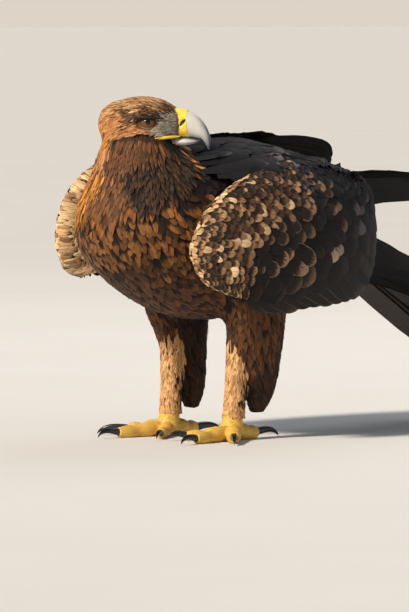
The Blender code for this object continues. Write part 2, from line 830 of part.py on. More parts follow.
def make_primaries(side, arm):
    """The long hand feathers, stacked under the secondaries and running back past them."""
    wing = WINGS[side]
    name = "primaries_" + side
    bar = shell_bar(name, wing, PRIMARY_BAR, PRIMARY_BAND)
    middle = (ARM_LINES[PRIMARY_BAND[0]] + ARM_LINES[PRIMARY_BAND[1] - 1]) / 2
    root_y, root_z = flow(PRIMARY_START, middle, wing)
    root = shell(root_y, root_z, sum(PRIMARY_BAR[2:]) / 2, wing)
    start = (root[0] * wing["side"], root[1], root[2], 0)
    places, frame = course_frame((start,) + PRIMARY_COURSE[side])
    vanes = []
    for number, reach in enumerate(PRIMARY_LENGTHS):
        rank = number - (len(PRIMARY_LENGTHS) - 1) / 2
        at = np.concatenate([places[places < 0.8 * reach], reach * np.array([0.84, 0.95, 1.0])])
        centre, across, outward = (
            np.stack([np.interp(at, places, axis) for axis in part.T], 1) for part in frame
        )
        q = at / reach
        wide = vane_widths(q, PRIMARY["half"])
        spread = PRIMARY["shift"] * (1 + q) * rank
        spine = centre - across * spread[:, None] - outward * rank * PRIMARY["step"]
        ring = []
        for column, lift in ((-1, 0.5), (0, 0.5), (1, 0.5), (1, -0.5), (0, -0.5), (-1, -0.5)):
            height = lift * PRIMARY["thick"] - abs(column) * PRIMARY["cup"] * wide / PRIMARY["half"]
            ring.append(spine + across * (column * wide)[:, None] + outward * height[:, None])
        points = np.stack(ring, 1) * (wing["side"], 1, 1)
        vanes.append(tube("vane", points, "flight", ladder=True))
    return clear_of(join(bar, vanes), arm)


def tail_axes():
    slope = math.radians(TAIL_SLOPE)
    along = np.array([0, math.cos(slope), -math.sin(slope)])
    up = np.array([0, math.sin(slope), math.cos(slope)])
    return along, up


def tail_vane(across, start, length, level, bearing, half, thick, drop=0.0):
    """A feather of the tail's fan, from a root beside the midline along its own bearing."""
    along, up = tail_axes()
    side = np.array([1.0, 0, 0])
    q = np.array([0, 0.55, 0.92, 1.0])
    angle = math.radians(bearing)
    way = along * math.cos(angle) + side * math.sin(angle)
    cross = side * math.cos(angle) - along * math.sin(angle)
    spine = np.array(TAIL_ROOT) + side * across + along * start
    spine = spine + way * (q * length)[:, None] + up * (level - drop * q**2)[:, None]
    wide = vane_widths(q, half)
    ring = []
    for column, lift in ((-1, 0.5), (1, 0.5), (1, -0.5), (-1, -0.5)):
        ring.append(spine + cross * (column * wide)[:, None] + up * lift * thick)
    return tube("vane", np.stack(ring, 1), "flight", ladder=True)


def make_tail(torso):
    """The rump, twelve tail feathers and the coverts over and under their roots."""
    along, up = tail_axes()
    half_width, half_height, length = TAIL_BASE
    frame = np.array([along, [1.0, 0, 0], up])

    def place(points):
        return np.array(TAIL_ROOT) + np.asarray(points) @ frame

    tail = ball((12, 0, 0), (length, half_width, half_height), "flight", rings=7, sides=12, place=place)
    tail.name = "tail"
    clear_of(tail, torso)
    vanes = []
    for pair in range(TAIL["pairs"]):
        for side in (1, -1):
            rank = pair + (0.5 if side > 0 else 0)
            vanes.append(
                tail_vane(
                    side * (2 + 2.4 * pair),
                    28,
                    TAIL_LENGTH - 28 - 3.0 * pair,
                    3 - rank * TAIL["step"],
                    side * (0.6 + TAIL["fan"] * pair),
                    TAIL["half"],
                    TAIL["thick"],
                )
            )
    count = TAIL_COVERTS["count"]
    for layer, (level, reach, drop) in enumerate(((9.0, 112, 1.0), (-12.5, 128, 1.0))):
        for number in range(count):
            rank = number - (count - 1) / 2
            below = -abs(rank) * 1.2 if layer == 0 else abs(rank) * 0.9
            vanes.append(
                tail_vane(
                    rank * 8, 26, reach - 9 * abs(rank) - 26, level + below,
                    rank * 5, TAIL_COVERTS["half"], TAIL_COVERTS["thick"], drop,
                )
            )
    return join(tail, vanes)


def limb_rings(stations, side, x_of, count, sides):
    table = sorted(stations)
    places = refine(table, count, 0.2)
    rings = []
    for z, (y, deep, wide) in zip(places, smooth(table, places)):
        across, along = oval(wide, deep, deep, sides, 2.1)
        rings.append(np.stack([side * x_of(z) + across, y + along, np.full(sides, z)], 1))
    return np.array(rings)


def thigh_x(z):
    return HIP_SIDE + THIGH_OUT * math.sin(math.pi * min(max((z - 30) / 190, 0), 1))


def shank_x(z):
    return FOOT_SIDE + 0.03 * (z - 24)


def make_leg(name, side, torso):
    """The feathered thigh with its trouser tuft, the shank and the foot with its claws."""
    shank = tube("shank_" + name, limb_rings(SHANK, side, shank_x, 7, 12), "shank")
    thigh = tube("thigh_" + name, limb_rings(THIGH, side, thigh_x, 9, 12), "plumage")
    clear_of(thigh, torso, shank)
    clear_of(shank, torso)
    foot, claws = make_foot(name, side)
    cut(shank, block((side * FOOT_SIDE, FOOT_CENTRE_Y, SHANK_END - 40), (50, 50, 40)))
    cut(foot, block((side * FOOT_SIDE, FOOT_CENTRE_Y, SHANK_END - GAP + 40), (90, 120, 40)))
    return thigh, shank, foot, claws


def foot_place(side):
    """Placing for a foot: forward, left and up about the ball of the foot."""
    turn = math.radians(side * FOOT_TURN)
    ahead = np.array([math.sin(turn), -math.cos(turn), 0])
    left = np.array([math.cos(turn), math.sin(turn), 0])
    axes = np.array([ahead, left, [0, 0, 1.0]])
    origin = np.array([side * FOOT_SIDE, FOOT_CENTRE_Y, 0])

    def place(points):
        return origin + np.asarray(points, float) @ axes

    return place


def make_foot(name, side):
    """Ball and four padded toes in one node, flat underneath, and four separate claws."""
    place = foot_place(side)
    ball_node = ball((0, 0, BALL_HEIGHT), BALL_RADII, "toe", rings=6, sides=10, place=place)
    ball_node.name = "foot_" + name
    ankle = rod("ankle", ((2, 0, 10), (1, 0, 20), (0, 0, 32)), (12, 11, 11), "toe", place=place)
    toes, claws = [ankle], []
    for toe, bearing, length, root, end, claw in TOES:
        angle = math.radians(bearing * side)
        way = np.array([math.cos(angle), math.sin(angle)])
        q = np.array([0, 0.22, 0.45, 0.62, 0.84, 1.0])
        bulge = np.array([1.0, 0.97, 1.08, 0.9, 1.05, 0.8])
        radii = (root + (end - root) * q) * bulge
        arch = np.array([2.5, 3.0, 1.2, 1.0, 0.4, 1.6])
        heights = radii - TOE_SINK + arch * (q < 0.9)
        heights[-1] = heights[-2]
        path = [(way[0] * length * u, way[1] * length * u, h) for u, h in zip(q, heights)]
        toes.append(rod("toe", path, radii, "toe", place=place, sides=7))
        claws.append(make_claw(name, toe, way, length + GAP, heights[-1], radii[-1], claw, place))
    join(ball_node, toes)
    cut(ball_node, block((side * FOOT_SIDE, 0, -40), (130, 160, 40)))
    return ball_node, claws


def make_claw(name, toe, way, start, height, radius, length, place):
    """A hooked claw that rises a little, then curves down to just above the floor."""
    q = np.linspace(0, 1, 6)
    out = start + length * 0.80 * np.sin(q * 1.35) / math.sin(1.35)
    rise = height + 3.0 * np.sin(math.pi * q) - (height - CLAW_CLEAR - 0.6) * q**2.2
    radii = np.maximum(radius * 0.72 * (1 - q) ** 0.75, 0.5)
    rise = np.maximum(rise, radii + CLAW_CLEAR)
    path = [(way[0] * f, way[1] * f, u) for f, u in zip(out, rise)]
    return rod(f"claw_{toe}_{name}", path, radii, "claw", place=place, sides=6)


def trim_claws(foot, claws):
    """Cuts each claw back from the toe that carries it."""
    for claw in claws:
        clear_of(claw, foot)


def centre_on_floor():
    """Moves everything so that the origin is the bottom centre of the whole bird."""
    spots = np.concatenate(
        [np.array([v.co for v in o.data.vertices]) for o in bpy.data.objects if o.type == "MESH"]
    )
    low, high = spots.min(0), spots.max(0)
    shift = np.array([(low[0] + high[0]) / 2, (low[1] + high[1]) / 2, low[2]])
    for node in bpy.data.objects:
        points = np.array([v.co for v in node.data.vertices]) - shift
        node.data.vertices.foreach_set("co", points.astype(np.float32).ravel())
        node.data.update()


def finish_meshes():
    """Merges stray points and turns every face outwards."""
    for node in bpy.data.objects:
        shape = bmesh.new()
        shape.from_mesh(node.data)
        bmesh.ops.triangulate(shape, faces=shape.faces[:])
        bmesh.ops.recalc_face_normals(shape, faces=shape.faces[:])
        shape.to_mesh(node.data)
        shape.free()


def main():
    clear_scene()
    torso = make_torso()
    neck = make_neck(torso)
    cere, hook, lower = make_bill()
    head = make_head(NECK_TOP, cere, lower)
    clear_of(head, torso)
    cut(neck, grown(lower, BILL_CLEAR))
    make_eyes()
    tail = make_tail(torso)
    legs = {name: make_leg(name, side, torso) for name, side in (("left", 1), ("right", -1))}
    for thigh, shank, foot, claws in legs.values():
        trim_claws(foot, claws)
    for side, wing in WINGS.items():
        arm = clear_of(make_arm("wing_" + side, wing), torso, neck)
        make_secondaries(side, arm)
        make_primaries(side, arm)
        cover_wing(side, arm)
    finish_meshes()
    centre_on_floor()


main()
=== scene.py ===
"""Golden eagle, feather by feather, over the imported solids.

The bird's own frame is in millimetres: it faces -Y, its left side is +X, the floor is Z = 0 and
the point between its feet is the origin. bird_to_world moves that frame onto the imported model.
"""

import math

import bmesh
import bpy
import numpy as np
from bpy.props import FloatProperty, FloatVectorProperty, IntProperty, PointerProperty
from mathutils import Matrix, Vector, kdtree


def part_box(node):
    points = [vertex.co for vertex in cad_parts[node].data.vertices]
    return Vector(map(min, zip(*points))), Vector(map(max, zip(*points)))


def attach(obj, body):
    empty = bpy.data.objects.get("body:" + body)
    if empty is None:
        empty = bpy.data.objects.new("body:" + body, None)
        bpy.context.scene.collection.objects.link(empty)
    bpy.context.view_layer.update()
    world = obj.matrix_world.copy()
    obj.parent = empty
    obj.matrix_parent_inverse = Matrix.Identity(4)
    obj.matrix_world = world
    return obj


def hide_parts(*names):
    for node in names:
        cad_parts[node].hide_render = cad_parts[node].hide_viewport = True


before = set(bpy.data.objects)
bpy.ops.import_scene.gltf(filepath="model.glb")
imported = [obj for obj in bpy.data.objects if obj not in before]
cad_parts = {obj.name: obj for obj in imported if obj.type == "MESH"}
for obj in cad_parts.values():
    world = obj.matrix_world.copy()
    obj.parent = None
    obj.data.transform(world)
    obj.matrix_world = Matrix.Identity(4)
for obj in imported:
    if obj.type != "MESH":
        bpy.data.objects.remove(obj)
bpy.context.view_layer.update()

bl_info = {
    "name": "Golden eagle plumage",
    "version": (1, 0, 0),
    "blender": (4, 5, 0),
    "location": "View3D > Sidebar > Eagle",
    "description": "Dresses a plain solid eagle in skin, feathers, horn and eyes",
    "category": "Object",
}

MM = 0.001
SIDES = (("left", 1), ("right", -1))
BAKE_PATCH = 0.003
SHARP_ANGLE = 50

# Torso stations along Y: place, top, bottom, half width
TORSO = (
    (-164, 240, 222, 14),
    (-158, 254, 206, 30),
    (-146, 269, 190, 47),
    (-125, 286, 174, 64),
    (-95, 304, 154, 80),
    (-60, 316, 137, 89),
    (-20, 323, 128, 92),
    (20, 325, 128, 90),
    (60, 316, 135, 80),
    (100, 295, 152, 64),
    (135, 268, 178, 45),
    (158, 247, 203, 27),
)
# Neck stations upwards: height, forward place, sideways place, half depth, half width
NECK = (
    (205, -72, 0, 66, 64),
    (240, -82, 0, 72, 68),
    (262, -86, 0, 68, 64),
    (280, -88, 1, 62, 58),
    (298, -91, 2, 54, 51),
    (316, -94, 3, 46, 44),
    (330, -95, 4, 36, 35),
)
# Head stations along its own forward axis: place, half width, top, bottom
HEAD = (
    (-47, 10, 9, -7),
    (-43, 18, 17, -17),
    (-34, 26, 24, -27),
    (-20, 32, 28, -34),
    (-4, 35, 30, -38),
    (10, 34, 29, -37),
    (21, 29, 26, -32),
    (31, 22, 21, -24),
    (39, 17, 15, -19),
    (44, 14, 12, -16),
)
HEAD_CENTRE = (4, -94, 341)
HEAD_TURN = 122
HEAD_LIFT = 3
EYE_RADIUS = 9.0
EYE_PLACE = (12.5, 24.0, 0.5)
# Upper bill stations: culmen forward, culmen height, edge forward, edge height, half width
BILL = (
    (37, 14.5, 36, -15.5, 13.0),
    (44, 13.5, 44, -15.5, 12.2),
    (50, 11.5, 50, -16, 11.2),
    (56, 8.5, 56, -17, 9.8),
    (62, 4.0, 61, -18.5, 8.3),
    (67.5, -2.5, 64.5, -19.5, 6.6),
    (71.5, -10, 66.5, -21.5, 5.0),
    (73.8, -18, 68.3, -25, 3.6),
    (73.6, -25, 70.0, -28.5, 2.3),
    (72.4, -31, 71.0, -31.5, 0.9),
)
# Lower bill stations, in the same form
LOWER_BILL = (
    (33, -17.5, 33, -25, 10.5),
    (44, -17.8, 44, -25.5, 9.0),
    (53, -18.8, 52, -25, 7.0),
    (60, -20.0, 59, -23.5, 4.2),
    (63, -20.8, 62.5, -22.2, 1.6),
)
# Mouth line in head coordinates, back to front: forward, out, up
LIP = ((9, 28.6, -17.5), (18, 27.2, -16.9), (28, 21.8, -16.2), (37, 13.8, -15.9), (43, 9.2, -15.6))
LIP_RADII = (0.63, 1.68, 1.995, 1.68, 0.525)
BILL_FULLNESS = 0.8
CERE_END = 2.15
EYE_AIM = (0.30, 0.95, 0.04)
EYE_OPENING = (10.2, 5.2, 6.9)
# Ledge over the eye in head coordinates, back to front: forward, out, up
LEDGE = ((-6, 32.4, 7.4), (3, 33.8, 7.3), (12, 34.0, 6.7), (20, 30.6, 5.7), (27, 24.2, 4.5), (32, 18.8, 4.0))
LEDGE_RADII = (0.5, 1.5, 2.0, 1.9, 1.3, 0.5)
LID_RADIUS = 1.05
SCUTE_LENGTH = 5.2
FOOT_VOXEL = 1.0
NOSTRIL = (47.2, 13.0, -1.2)
NOSTRIL_SLANT = -42
NOSTRIL_RADII = (1.7, 4.6)
NOSTRIL_DEPTH = 2.6
NOSTRIL_SIDE = 4

# Wing shell: half-ellipsoid over the bird's side, X as a function of Y and Z
SHELL_CORE = 38
SHELL_BULGE = 106
SHELL_MIDDLE_Y = 14
SHELL_HALF_TOP = 128
SHELL_TUCK = 0.12
SHELL_DROP = 57
# Flow lines from the leading edge to the feather tips: share, lead Y, lead Z, tip Y, tip Z
WINGS = {
    "left": {
        "side": 1,
        "middle": 195,
        "reach": (188, 202),
        "flow": (
            (0.00, -71, 158, -14, 142),
            (0.12, -100, 171, 28, 136),
            (0.22, -114, 192, 66, 142),
            (0.34, -117, 218, 104, 144),
            (0.46, -92, 258, 138, 147),
            (0.58, -44, 289, 162, 155),
            (0.72, 20, 309, 178, 176),
            (0.86, 80, 302, 184, 206),
            (1.00, 130, 280, 186, 236),
        ),
    },
    "right": {
        "side": -1,
        "middle": 214,
        "reach": (196, 300),
        "flow": (
            (0.00, -75, 170, 10, 160),
            (0.12, -108, 180, 60, 172),
            (0.22, -124, 199, 108, 190),
            (0.34, -130, 222, 150, 210),
            (0.46, -120, 255, 188, 234),
            (0.58, -94, 285, 222, 256),
            (0.72, -46, 307, 250, 276),
            (0.86, 22, 319, 268, 294),
            (1.00, 90, 318, 262, 312),
        ),
    },
}
FLOW_BOW = 10
ARM_OUTER = 4.2
ARM_INNER = 40
ARM_THINNING = 0.35
ARM_NOSE = 0.10
# Reach of the flesh from the leading edge, and how far it lies below the coverts
FLESH_REACH = 0.46
FLESH_BELOW = 2.6
# Course of the stacked primaries: X, Y, Z and lean in degrees
PRIMARY_COURSE = {
    "left": ((88, 85, 194, 6), (65, 190, 190, 18), (62, 330, 142, 40), (54, 452, 90, 50)),
    "right": ((92, 110, 224, 6), (74, 210, 250, 14), (62, 330, 268, 32), (50, 478, 258, 46)),
}
PRIMARY_LENGTHS = (0.62, 0.70, 0.78, 0.86, 0.93, 0.98, 1.0, 0.94)
PRIMARY_ROOT = (0.5, 0.25, 32.3)

TAIL_ROOT = (0, 150, 226)
TAIL_SLOPE = 29.5
TAIL_LENGTH = 318

HIP_SIDE = 52
# Leg stations, from the top: height, place along Y, half depth, half width
THIGH = (
    (214, 12, 40, 30),
    (186, 12, 47, 34),
    (160, 13, 46, 33),
    (136, 16, 40, 29),
    (112, 21, 33, 24),
    (88, 25, 27, 20),
    (64, 28, 22, 16),
    (44, 29, 16, 12),
    (30, 29, 8, 7),
)
THIGH_OUT = 8
THIGH_RUN = 190
SHANK = (
    (140, 8, 9, 9),
    (116, 3, 14, 13),
    (90, 1, 14, 12.5),
    (62, -1, 12.5, 11.5),
    (38, -3, 12, 11.5),
    (24, -4, 12.5, 12),
)
SHANK_LEAN = 0.03
FOOT_SIDE = 50
FOOT_CENTRE_Y = -5
FOOT_TURN = 8
# Toes: name, bearing, length, radius at root and end, claw length
TOES = (
    ("middle", 2, 66, 8.2, 6.4, 33),
    ("inner", 40, 46, 8.6, 7.2, 42),
    ("outer", -44, 50, 7.6, 6.0, 28),
    ("hind", 176, 36, 8.8, 7.6, 46),
)
TOE_SINK = 1.4
# Ankle from the sole up: forward, left, up, radius
ANKLE = ((2, 0, 6, 13), (2, 0, 12, 13.4), (1, 0, 19, 11.6), (0, 0, 26, 10.8), (0, 0, 33, 10.6))
CLAW_CLEAR = 0.6

CAMERA_TURN = 47
CAMERA_RISE = 3.0
CAMERA_DISTANCE = 6000
PICTURE_POINT = 1.08
PICTURE_HEIGHT = 612
SENSOR_HEIGHT = 36
FLOOR_POINT = 438

# Rows of wing coverts: start and length as shares of the flow line, half width, spacing across,
# lift at root and tip, and the family of tones
COVERT_ROWS = (
    (-0.117, 0.012, 2.3, 3.3, -1.2, 0.3, "margin"),
    (-0.113, 0.017, 2.6, 3.7, -1.2, 0.6, "margin"),
    (-0.107, 0.024, 2.9, 4.1, -1.2, 0.9, "margin"),
    (-0.100, 0.029, 3.1, 4.4, -1.1, 1.1, "margin"),
    (-0.091, 0.034, 3.2, 4.6, -1.0, 1.3, "margin"),
    (-0.081, 0.040, 3.2, 4.6, -1.0, 1.4, "margin"),
    (-0.067, 0.038, 3.1, 4.5, -1.0, 1.4, "margin"),
    (-0.054, 0.036, 3.0, 4.4, -1.0, 1.4, "margin"),
    (-0.042, 0.036, 3.0, 4.4, -1.0, 1.4, "margin"),
    (-0.031, 0.038, 3.0, 4.4, -1.0, 1.5, "margin"),
    (-0.020, 0.044, 3.2, 4.6, -1.0, 1.6, "margin"),
    (-0.008, 0.060, 3.4, 5.0, -1.1, 1.8, "lesser"),
    (0.011, 0.068, 3.7, 5.4, -1.2, 2.1, "lesser"),
    (0.032, 0.075, 4.1, 5.9, -1.4, 2.4, "lesser"),
    (0.054, 0.082, 4.5, 6.4, -1.5, 2.6, "lesser"),
    (0.077, 0.088, 4.9, 6.9, -1.6, 2.8, "lesser"),
    (0.101, 0.095, 5.3, 7.4, -1.7, 2.9, "lesser"),
    (0.127, 0.102, 5.8, 8.0, -1.8, 3.0, "lesser"),
    (0.155, 0.110, 6.3, 8.6, -1.9, 3.0, "lesser"),
    (0.185, 0.118, 7.0, 9.4, -1.9, 3.0, "lesser"),
    (0.217, 0.130, 7.8, 10.4, -1.9, 3.0, "median"),
    (0.253, 0.150, 8.8, 11.8, -1.9, 2.9, "median"),
    (0.297, 0.175, 10.4, 13.6, -1.9, 2.6, "median"),
    (0.345, 0.250, 12.0, 15.0, -2.2, 1.4, "greater"),
    (0.400, 0.290, 14.0, 16.5, -3.4, -0.6, "greater"),
    (0.430, 0.370, 16.0, 19.0, -6.4, -3.6, "greater_dark"),
)
# Rows on the inner face, which run the other way from the same parting
LINING_ROWS = (
    (-0.112, -0.014, 2.6, 3.8, -1.2, 0.4, "margin"),
    (-0.118, -0.024, 3.2, 4.6, -1.2, 0.7, "lesser"),
    (-0.127, -0.036, 4.0, 5.6, -1.2, 1.0, "lesser"),
    (-0.140, -0.060, 5.4, 7.4, -1.4, 1.2, "greater_dark"),
    (-0.155, -0.120, 8.5, 11.5, -1.4, 1.4, "greater_dark"),
    (-0.210, -0.150, 11.0, 15.0, -1.4, 1.6, "greater_dark"),
    (-0.290, -0.170, 12.0, 16.0, -1.4, 1.4, "greater_dark"),
)
RISE_END = 0.75
# Share of pale feathers at the wing's edge, and where the shoulder's near-black ones, partly painted shade,
# begin across it
PALE_SHARES = {"left": 0.22, "right": 0.5}
SHOULDER_LINE = 0.7
WING_BEND = 105
# Flight feathers: counts, places along and across the wing, depths under its face and steps
SECONDARY = {"count": 16, "root": 0.40, "tip": 0.995, "first": 6.6, "deepest": 19.6}
SECONDARY_SPAN = (0.045, 0.93)
PRIMARY = {"count": 10, "step": 1.0, "shift": 0.9}
TAIL = {"pairs": 6, "step": 1.35, "fan": 1.5, "start": 28, "shorter": 3.0, "rise": 3}
# Shoulder surface: front and rear end along Y and reach outwards, its rise and its depth at the back
SADDLE_BACK = (-96, 128, 42)
SADDLE_BULGE = 5
SADDLE_SINK = 2
SHOULDER_START = 0.16
SCAPULAR_ROWS = (1.25, -0.1, 11)
SCAPULARS_A_ROW = 15
SCAPULAR_HALF = 11.5
SCAPULAR_LIFT = (-4.5, 6.5)
TAIL_COVERT_ROWS = (0.0, 0.1, 0.2, 0.3, 0.42)
TAIL_COVERTS_A_ROW = 18
TAIL_COVERT_HALF = 10.5
TAIL_COVERT_LIFT = (-2.5, 3.6)
# Sleeve round the tail's roots: start and run along it, then first value and growth of each radius
SLEEVE_RUN = (-22, 130)
SLEEVE_SIDE = (25, 17)
SLEEVE_TOP = (13, -5)
SLEEVE_UNDER = (15, -3)

WALL_LOW = (1.45, 1.31, 1.14)
WALL_HIGH = (0.42, 0.45, 0.50)
LAMP_AIM = (0, 0, 0.2)
SUN_DISTANCE = 3.0
# Soft lamps: name, azimuth, height, distance, size, power, colour
LAMPS = (
    ("back lamp", 205, 45, 3.0, 1.6, 16, (0.92, 0.95, 1.0)),
    ("side lamp", 115, 20, 3.5, 2.4, 8, (0.88, 0.93, 1.0)),
    ("eye lamp", -24, 12, 3.0, 0.45, 5, (1.0, 0.95, 0.88)),
)

# Depths under the plumage, the rings that the skin is lofted from, and spreads of random draws
SKIN_BELOW = 0.8
ROOT_RISE = 0.3
SIZE_SPREAD = 0.08
ROLL_SPREAD = 0.14
POINT_SPREAD = 0.1
SWAY_SPREAD = 0.12
LOFT_RINGS = 26
LOFT_PLACES = 40
SAMPLES_A_FEATHER = 7.0
HEAD_FEATHER_THICK = 0.25
BODY_FEATHER_THICK = 0.35
# Where the breast's feathers end along Y, and the height over which they are the back's
BREAST_END = -70
BACK_LEVEL = 270
# Bare face in head coordinates: start forward, low and high end, side of the eyes, mouth's radius
BARE_FACE = (43, -27, 15, 15, 2.9)
# How far the tips of the small feathers stand over the solids' outline, least and most
LIFTS = {
    "torso": (-1.8, -1.0),
    "neck": (-1.2, -0.5),
    "head": (-1.3, -0.8),
    "thigh": (-0.5, 0.3),
    "shank": (-0.5, 0.3),
}
FLOOR_CLEAR = 1.5


def srgb(red, green, blue):
    """Scene-linear colour from display values of 0 to 255."""
    value = np.array([red, green, blue], float) / 255
    return np.where(value <= 0.04045, value / 12.92, ((value + 0.055) / 1.055) ** 2.4)


def paint(red, green, blue):
    """The same with an alpha of one, as a colour socket takes it."""
    return (*srgb(red, green, blue), 1)


# Feather tones: main and rim colour as display values, where the rim starts along the feather, pointedness,
# and how wide the rim is at the edges
TONES = {
    "crown": ((98, 62, 38), (214, 168, 116), 0.42, 0.9, 0.34),
    "cheek": ((126, 78, 44), (198, 142, 90), 0.30, 0.9, 0.30),
    "low_cheek": ((58, 37, 25), (122, 80, 50), 0.45, 0.9, 0.26),
    # The brow tone's dark ground is partly the feathers' own dark brown and partly painted shade along the
    # ledge over the eye
    "brow": ((46, 30, 21), (128, 88, 58), 0.55, 0.9, 0.20),
    "lore": ((104, 92, 82), (206, 194, 176), 0.20, 1.0, 0.30),
    "nape": ((60, 31, 14), (222, 148, 68), 0.46, 1.0, 0.26),
    # The throat's near-black ground is partly its own dark brown and partly painted shade under the head
    "throat": ((18, 13, 10), (78, 54, 38), 0.66, 1.0, 0.14),
    "neck": ((30, 19, 13), (150, 94, 46), 0.60, 0.95, 0.16),
    "breast": ((31, 20, 14), (138, 90, 48), 0.70, 0.6, 0.12),
    "low_breast": ((27, 18, 13), (100, 64, 37), 0.74, 0.5, 0.10),
    "belly": ((25, 16, 12), (74, 46, 28), 0.70, 0.5, 0.10),
    # The mantle's near-black, cool ground is partly the back's own dark brown and partly painted shade
    "mantle": ((13, 11, 13), (36, 31, 31), 0.80, 0.25, 0.08),
    "rump": ((36, 25, 19), (84, 60, 42), 0.72, 0.3, 0.10),
    "thigh": ((34, 21, 14), (104, 65, 36), 0.64, 0.8, 0.14),
    "trouser": ((24, 15, 11), (70, 44, 27), 0.60, 0.9, 0.14),
    "shank": ((150, 100, 58), (224, 178, 124), 0.34, 0.8, 0.26),
    "margin": ((62, 42, 30), (212, 164, 116), 0.62, 0.3, 0.20),
    "margin_pale": ((128, 92, 60), (238, 204, 156), 0.40, 0.2, 0.24),
    "lesser": ((42, 29, 22), (186, 142, 102), 0.76, 0.35, 0.16),
    "lesser_dark": ((32, 23, 18), (98, 70, 48), 0.78, 0.35, 0.12),
    "median": ((36, 26, 21), (168, 130, 98), 0.86, 0.25, 0.12),
    "greater": ((30, 22, 19), (150, 120, 98), 0.90, 0.2, 0.09),
    "greater_dark": ((19, 15, 14), (52, 42, 38), 0.90, 0.2, 0.08),
    "worn": ((38, 29, 25), (206, 178, 152), 0.80, 0.3, 0.05),
    # Shoulder and scapular grounds are near-black and cool: partly the feathers' own dark brown, partly
    # painted shade cast by the head across the shoulder
    "shoulder": ((12, 11, 14), (38, 33, 35), 0.86, 0.2, 0.06),
    "scapular": ((20, 17, 19), (104, 96, 98), 0.84, 0.2, 0.06),
    "secondary": ((26, 20, 18), (84, 70, 62), 0.95, 0.15, 0.07),
    "tertial": ((18, 15, 15), (58, 50, 48), 0.95, 0.2, 0.06),
    "primary": ((14, 12, 12), (30, 25, 24), 0.95, 0.4, 0.05),
    "tail": ((52, 41, 34), (20, 16, 15), 0.78, 0.1, 0.05),
    "tail_covert": ((52, 38, 30), (104, 80, 60), 0.84, 0.2, 0.10),
}
TONES = {name: (srgb(*row[0]), srgb(*row[1])) + row[2:] for name, row in TONES.items()}
# Plumage of the body. Place, lie, length, half width, spacing, coat depth, tone.
# Rows hold for both sides of the bird: X is taken as its distance from the midline.
BODY_MAP = (
    ((0, -164, 232), (0, 0.1, -1), 32, 5.0, 5.4, 6, "breast"),
    ((0, -150, 262), (0, -0.3, -1), 32, 4.2, 4.8, 6, "neck"),
    ((40, -140, 232), (0.2, 0.25, -1), 34, 5.2, 5.6, 6, "breast"),
    ((72, -100, 235), (0.2, 0.7, -1), 34, 5.4, 5.8, 6, "breast"),
    ((30, -135, 190), (0.1, 0.6, -1), 36, 5.8, 6.0, 6, "low_breast"),
    ((60, -95, 175), (0.2, 1, -0.8), 36, 6.0, 6.2, 6, "low_breast"),
    ((0, -110, 165), (0, 1, -0.6), 38, 6.2, 6.4, 6, "low_breast"),
    ((0, -40, 130), (0, 1, -0.1), 40, 6.4, 6.8, 6, "belly"),
    ((0, 40, 132), (0, 1, 0.1), 40, 6.8, 7.0, 6, "belly"),
    ((0, 120, 170), (0, 1, 0.3), 44, 8, 7.6, 6, "rump"),
    ((88, -20, 200), (0.1, 1, -0.4), 40, 7, 7.0, 6, "low_breast"),
    ((85, 40, 200), (0, 1, -0.3), 40, 7.6, 7.6, 6, "belly"),
    ((60, 100, 210), (-0.2, 1, -0.1), 44, 9, 8.4, 6, "rump"),
    # Mantle rows take the near-black mantle tone, partly painted shade over the back
    ((0, -70, 318), (0, 1, 0.1), 34, 6.5, 6, 6, "mantle"),
    ((45, -70, 300), (0.35, 1, -0.1), 38, 8, 7, 6, "mantle"),
    ((0, 20, 326), (0, 1, -0.05), 44, 10, 8.5, 6, "mantle"),
    ((55, 10, 305), (0.25, 1, -0.15), 46, 11, 9, 6, "mantle"),
    ((0, 90, 302), (0, 1, -0.5), 44, 10.5, 8.5, 6, "mantle"),
    ((45, 100, 275), (0, 1, -0.45), 44, 10.5, 9, 6, "mantle"),
    ((0, 140, 262), (0, 1, -0.6), 44, 10, 8.5, 5, "rump"),
)
NECK_MAP = (
    ((-58, -88, 285), (0.12, -0.05, -1), 32, 2.9, 3.6, 5, "nape"),
    ((-42, -124, 290), (0.1, -0.1, -1), 30, 2.7, 3.4, 5, "nape"),
    ((-14, -140, 292), (0.05, -0.1, -1), 30, 2.7, 3.4, 5, "nape"),
    ((-62, -80, 250), (0.1, 0.05, -1), 34, 3.3, 3.9, 5.5, "nape"),
    ((-40, -132, 258), (0.08, -0.1, -1), 34, 3.4, 4.0, 5.5, "nape"),
    ((-46, -104, 316), (0.1, -0.1, -1), 26, 2.4, 3.0, 4.5, "nape"),
    ((-16, -136, 318), (0.1, -0.2, -1), 24, 2.3, 2.9, 4, "cheek"),
    ((8, -140, 308), (0.1, -0.2, -1), 22, 2.0, 2.6, 4, "low_cheek"),
    ((14, -143, 280), (0.0, -0.2, -1), 30, 2.9, 3.5, 5, "low_cheek"),
    ((30, -130, 318), (0.0, -0.1, -1), 18, 1.5, 2.0, 3.4, "low_cheek"),
    ((36, -128, 300), (0.0, -0.1, -1), 24, 2.2, 2.8, 4.5, "throat"),
    ((52, -98, 298), (0.1, 0.2, -1), 28, 2.9, 3.5, 5, "throat"),
    ((42, -122, 280), (0.0, -0.1, -1), 30, 3.0, 3.6, 5, "throat"),
    ((0, -150, 250), (0.0, -0.2, -1), 32, 3.7, 4.3, 5.5, "neck"),
    ((45, -128, 252), (0.1, 0.0, -1), 32, 3.8, 4.4, 5.5, "neck"),
    ((62, -90, 265), (0.2, 0.5, -1), 30, 3.4, 4, 5, "neck"),
    ((40, -45, 305), (0.2, 1, -0.5), 32, 3.6, 4.2, 5, "nape"),
    ((0, -30, 312), (0, 1, -0.35), 34, 3.6, 4.2, 5, "nape"),
    ((-35, -45, 305), (-0.2, 1, -0.5), 34, 3.4, 4, 5, "nape"),
    ((-25, -50, 325), (-0.25, 0.5, -1), 28, 2.9, 3.5, 4.5, "nape"),
)
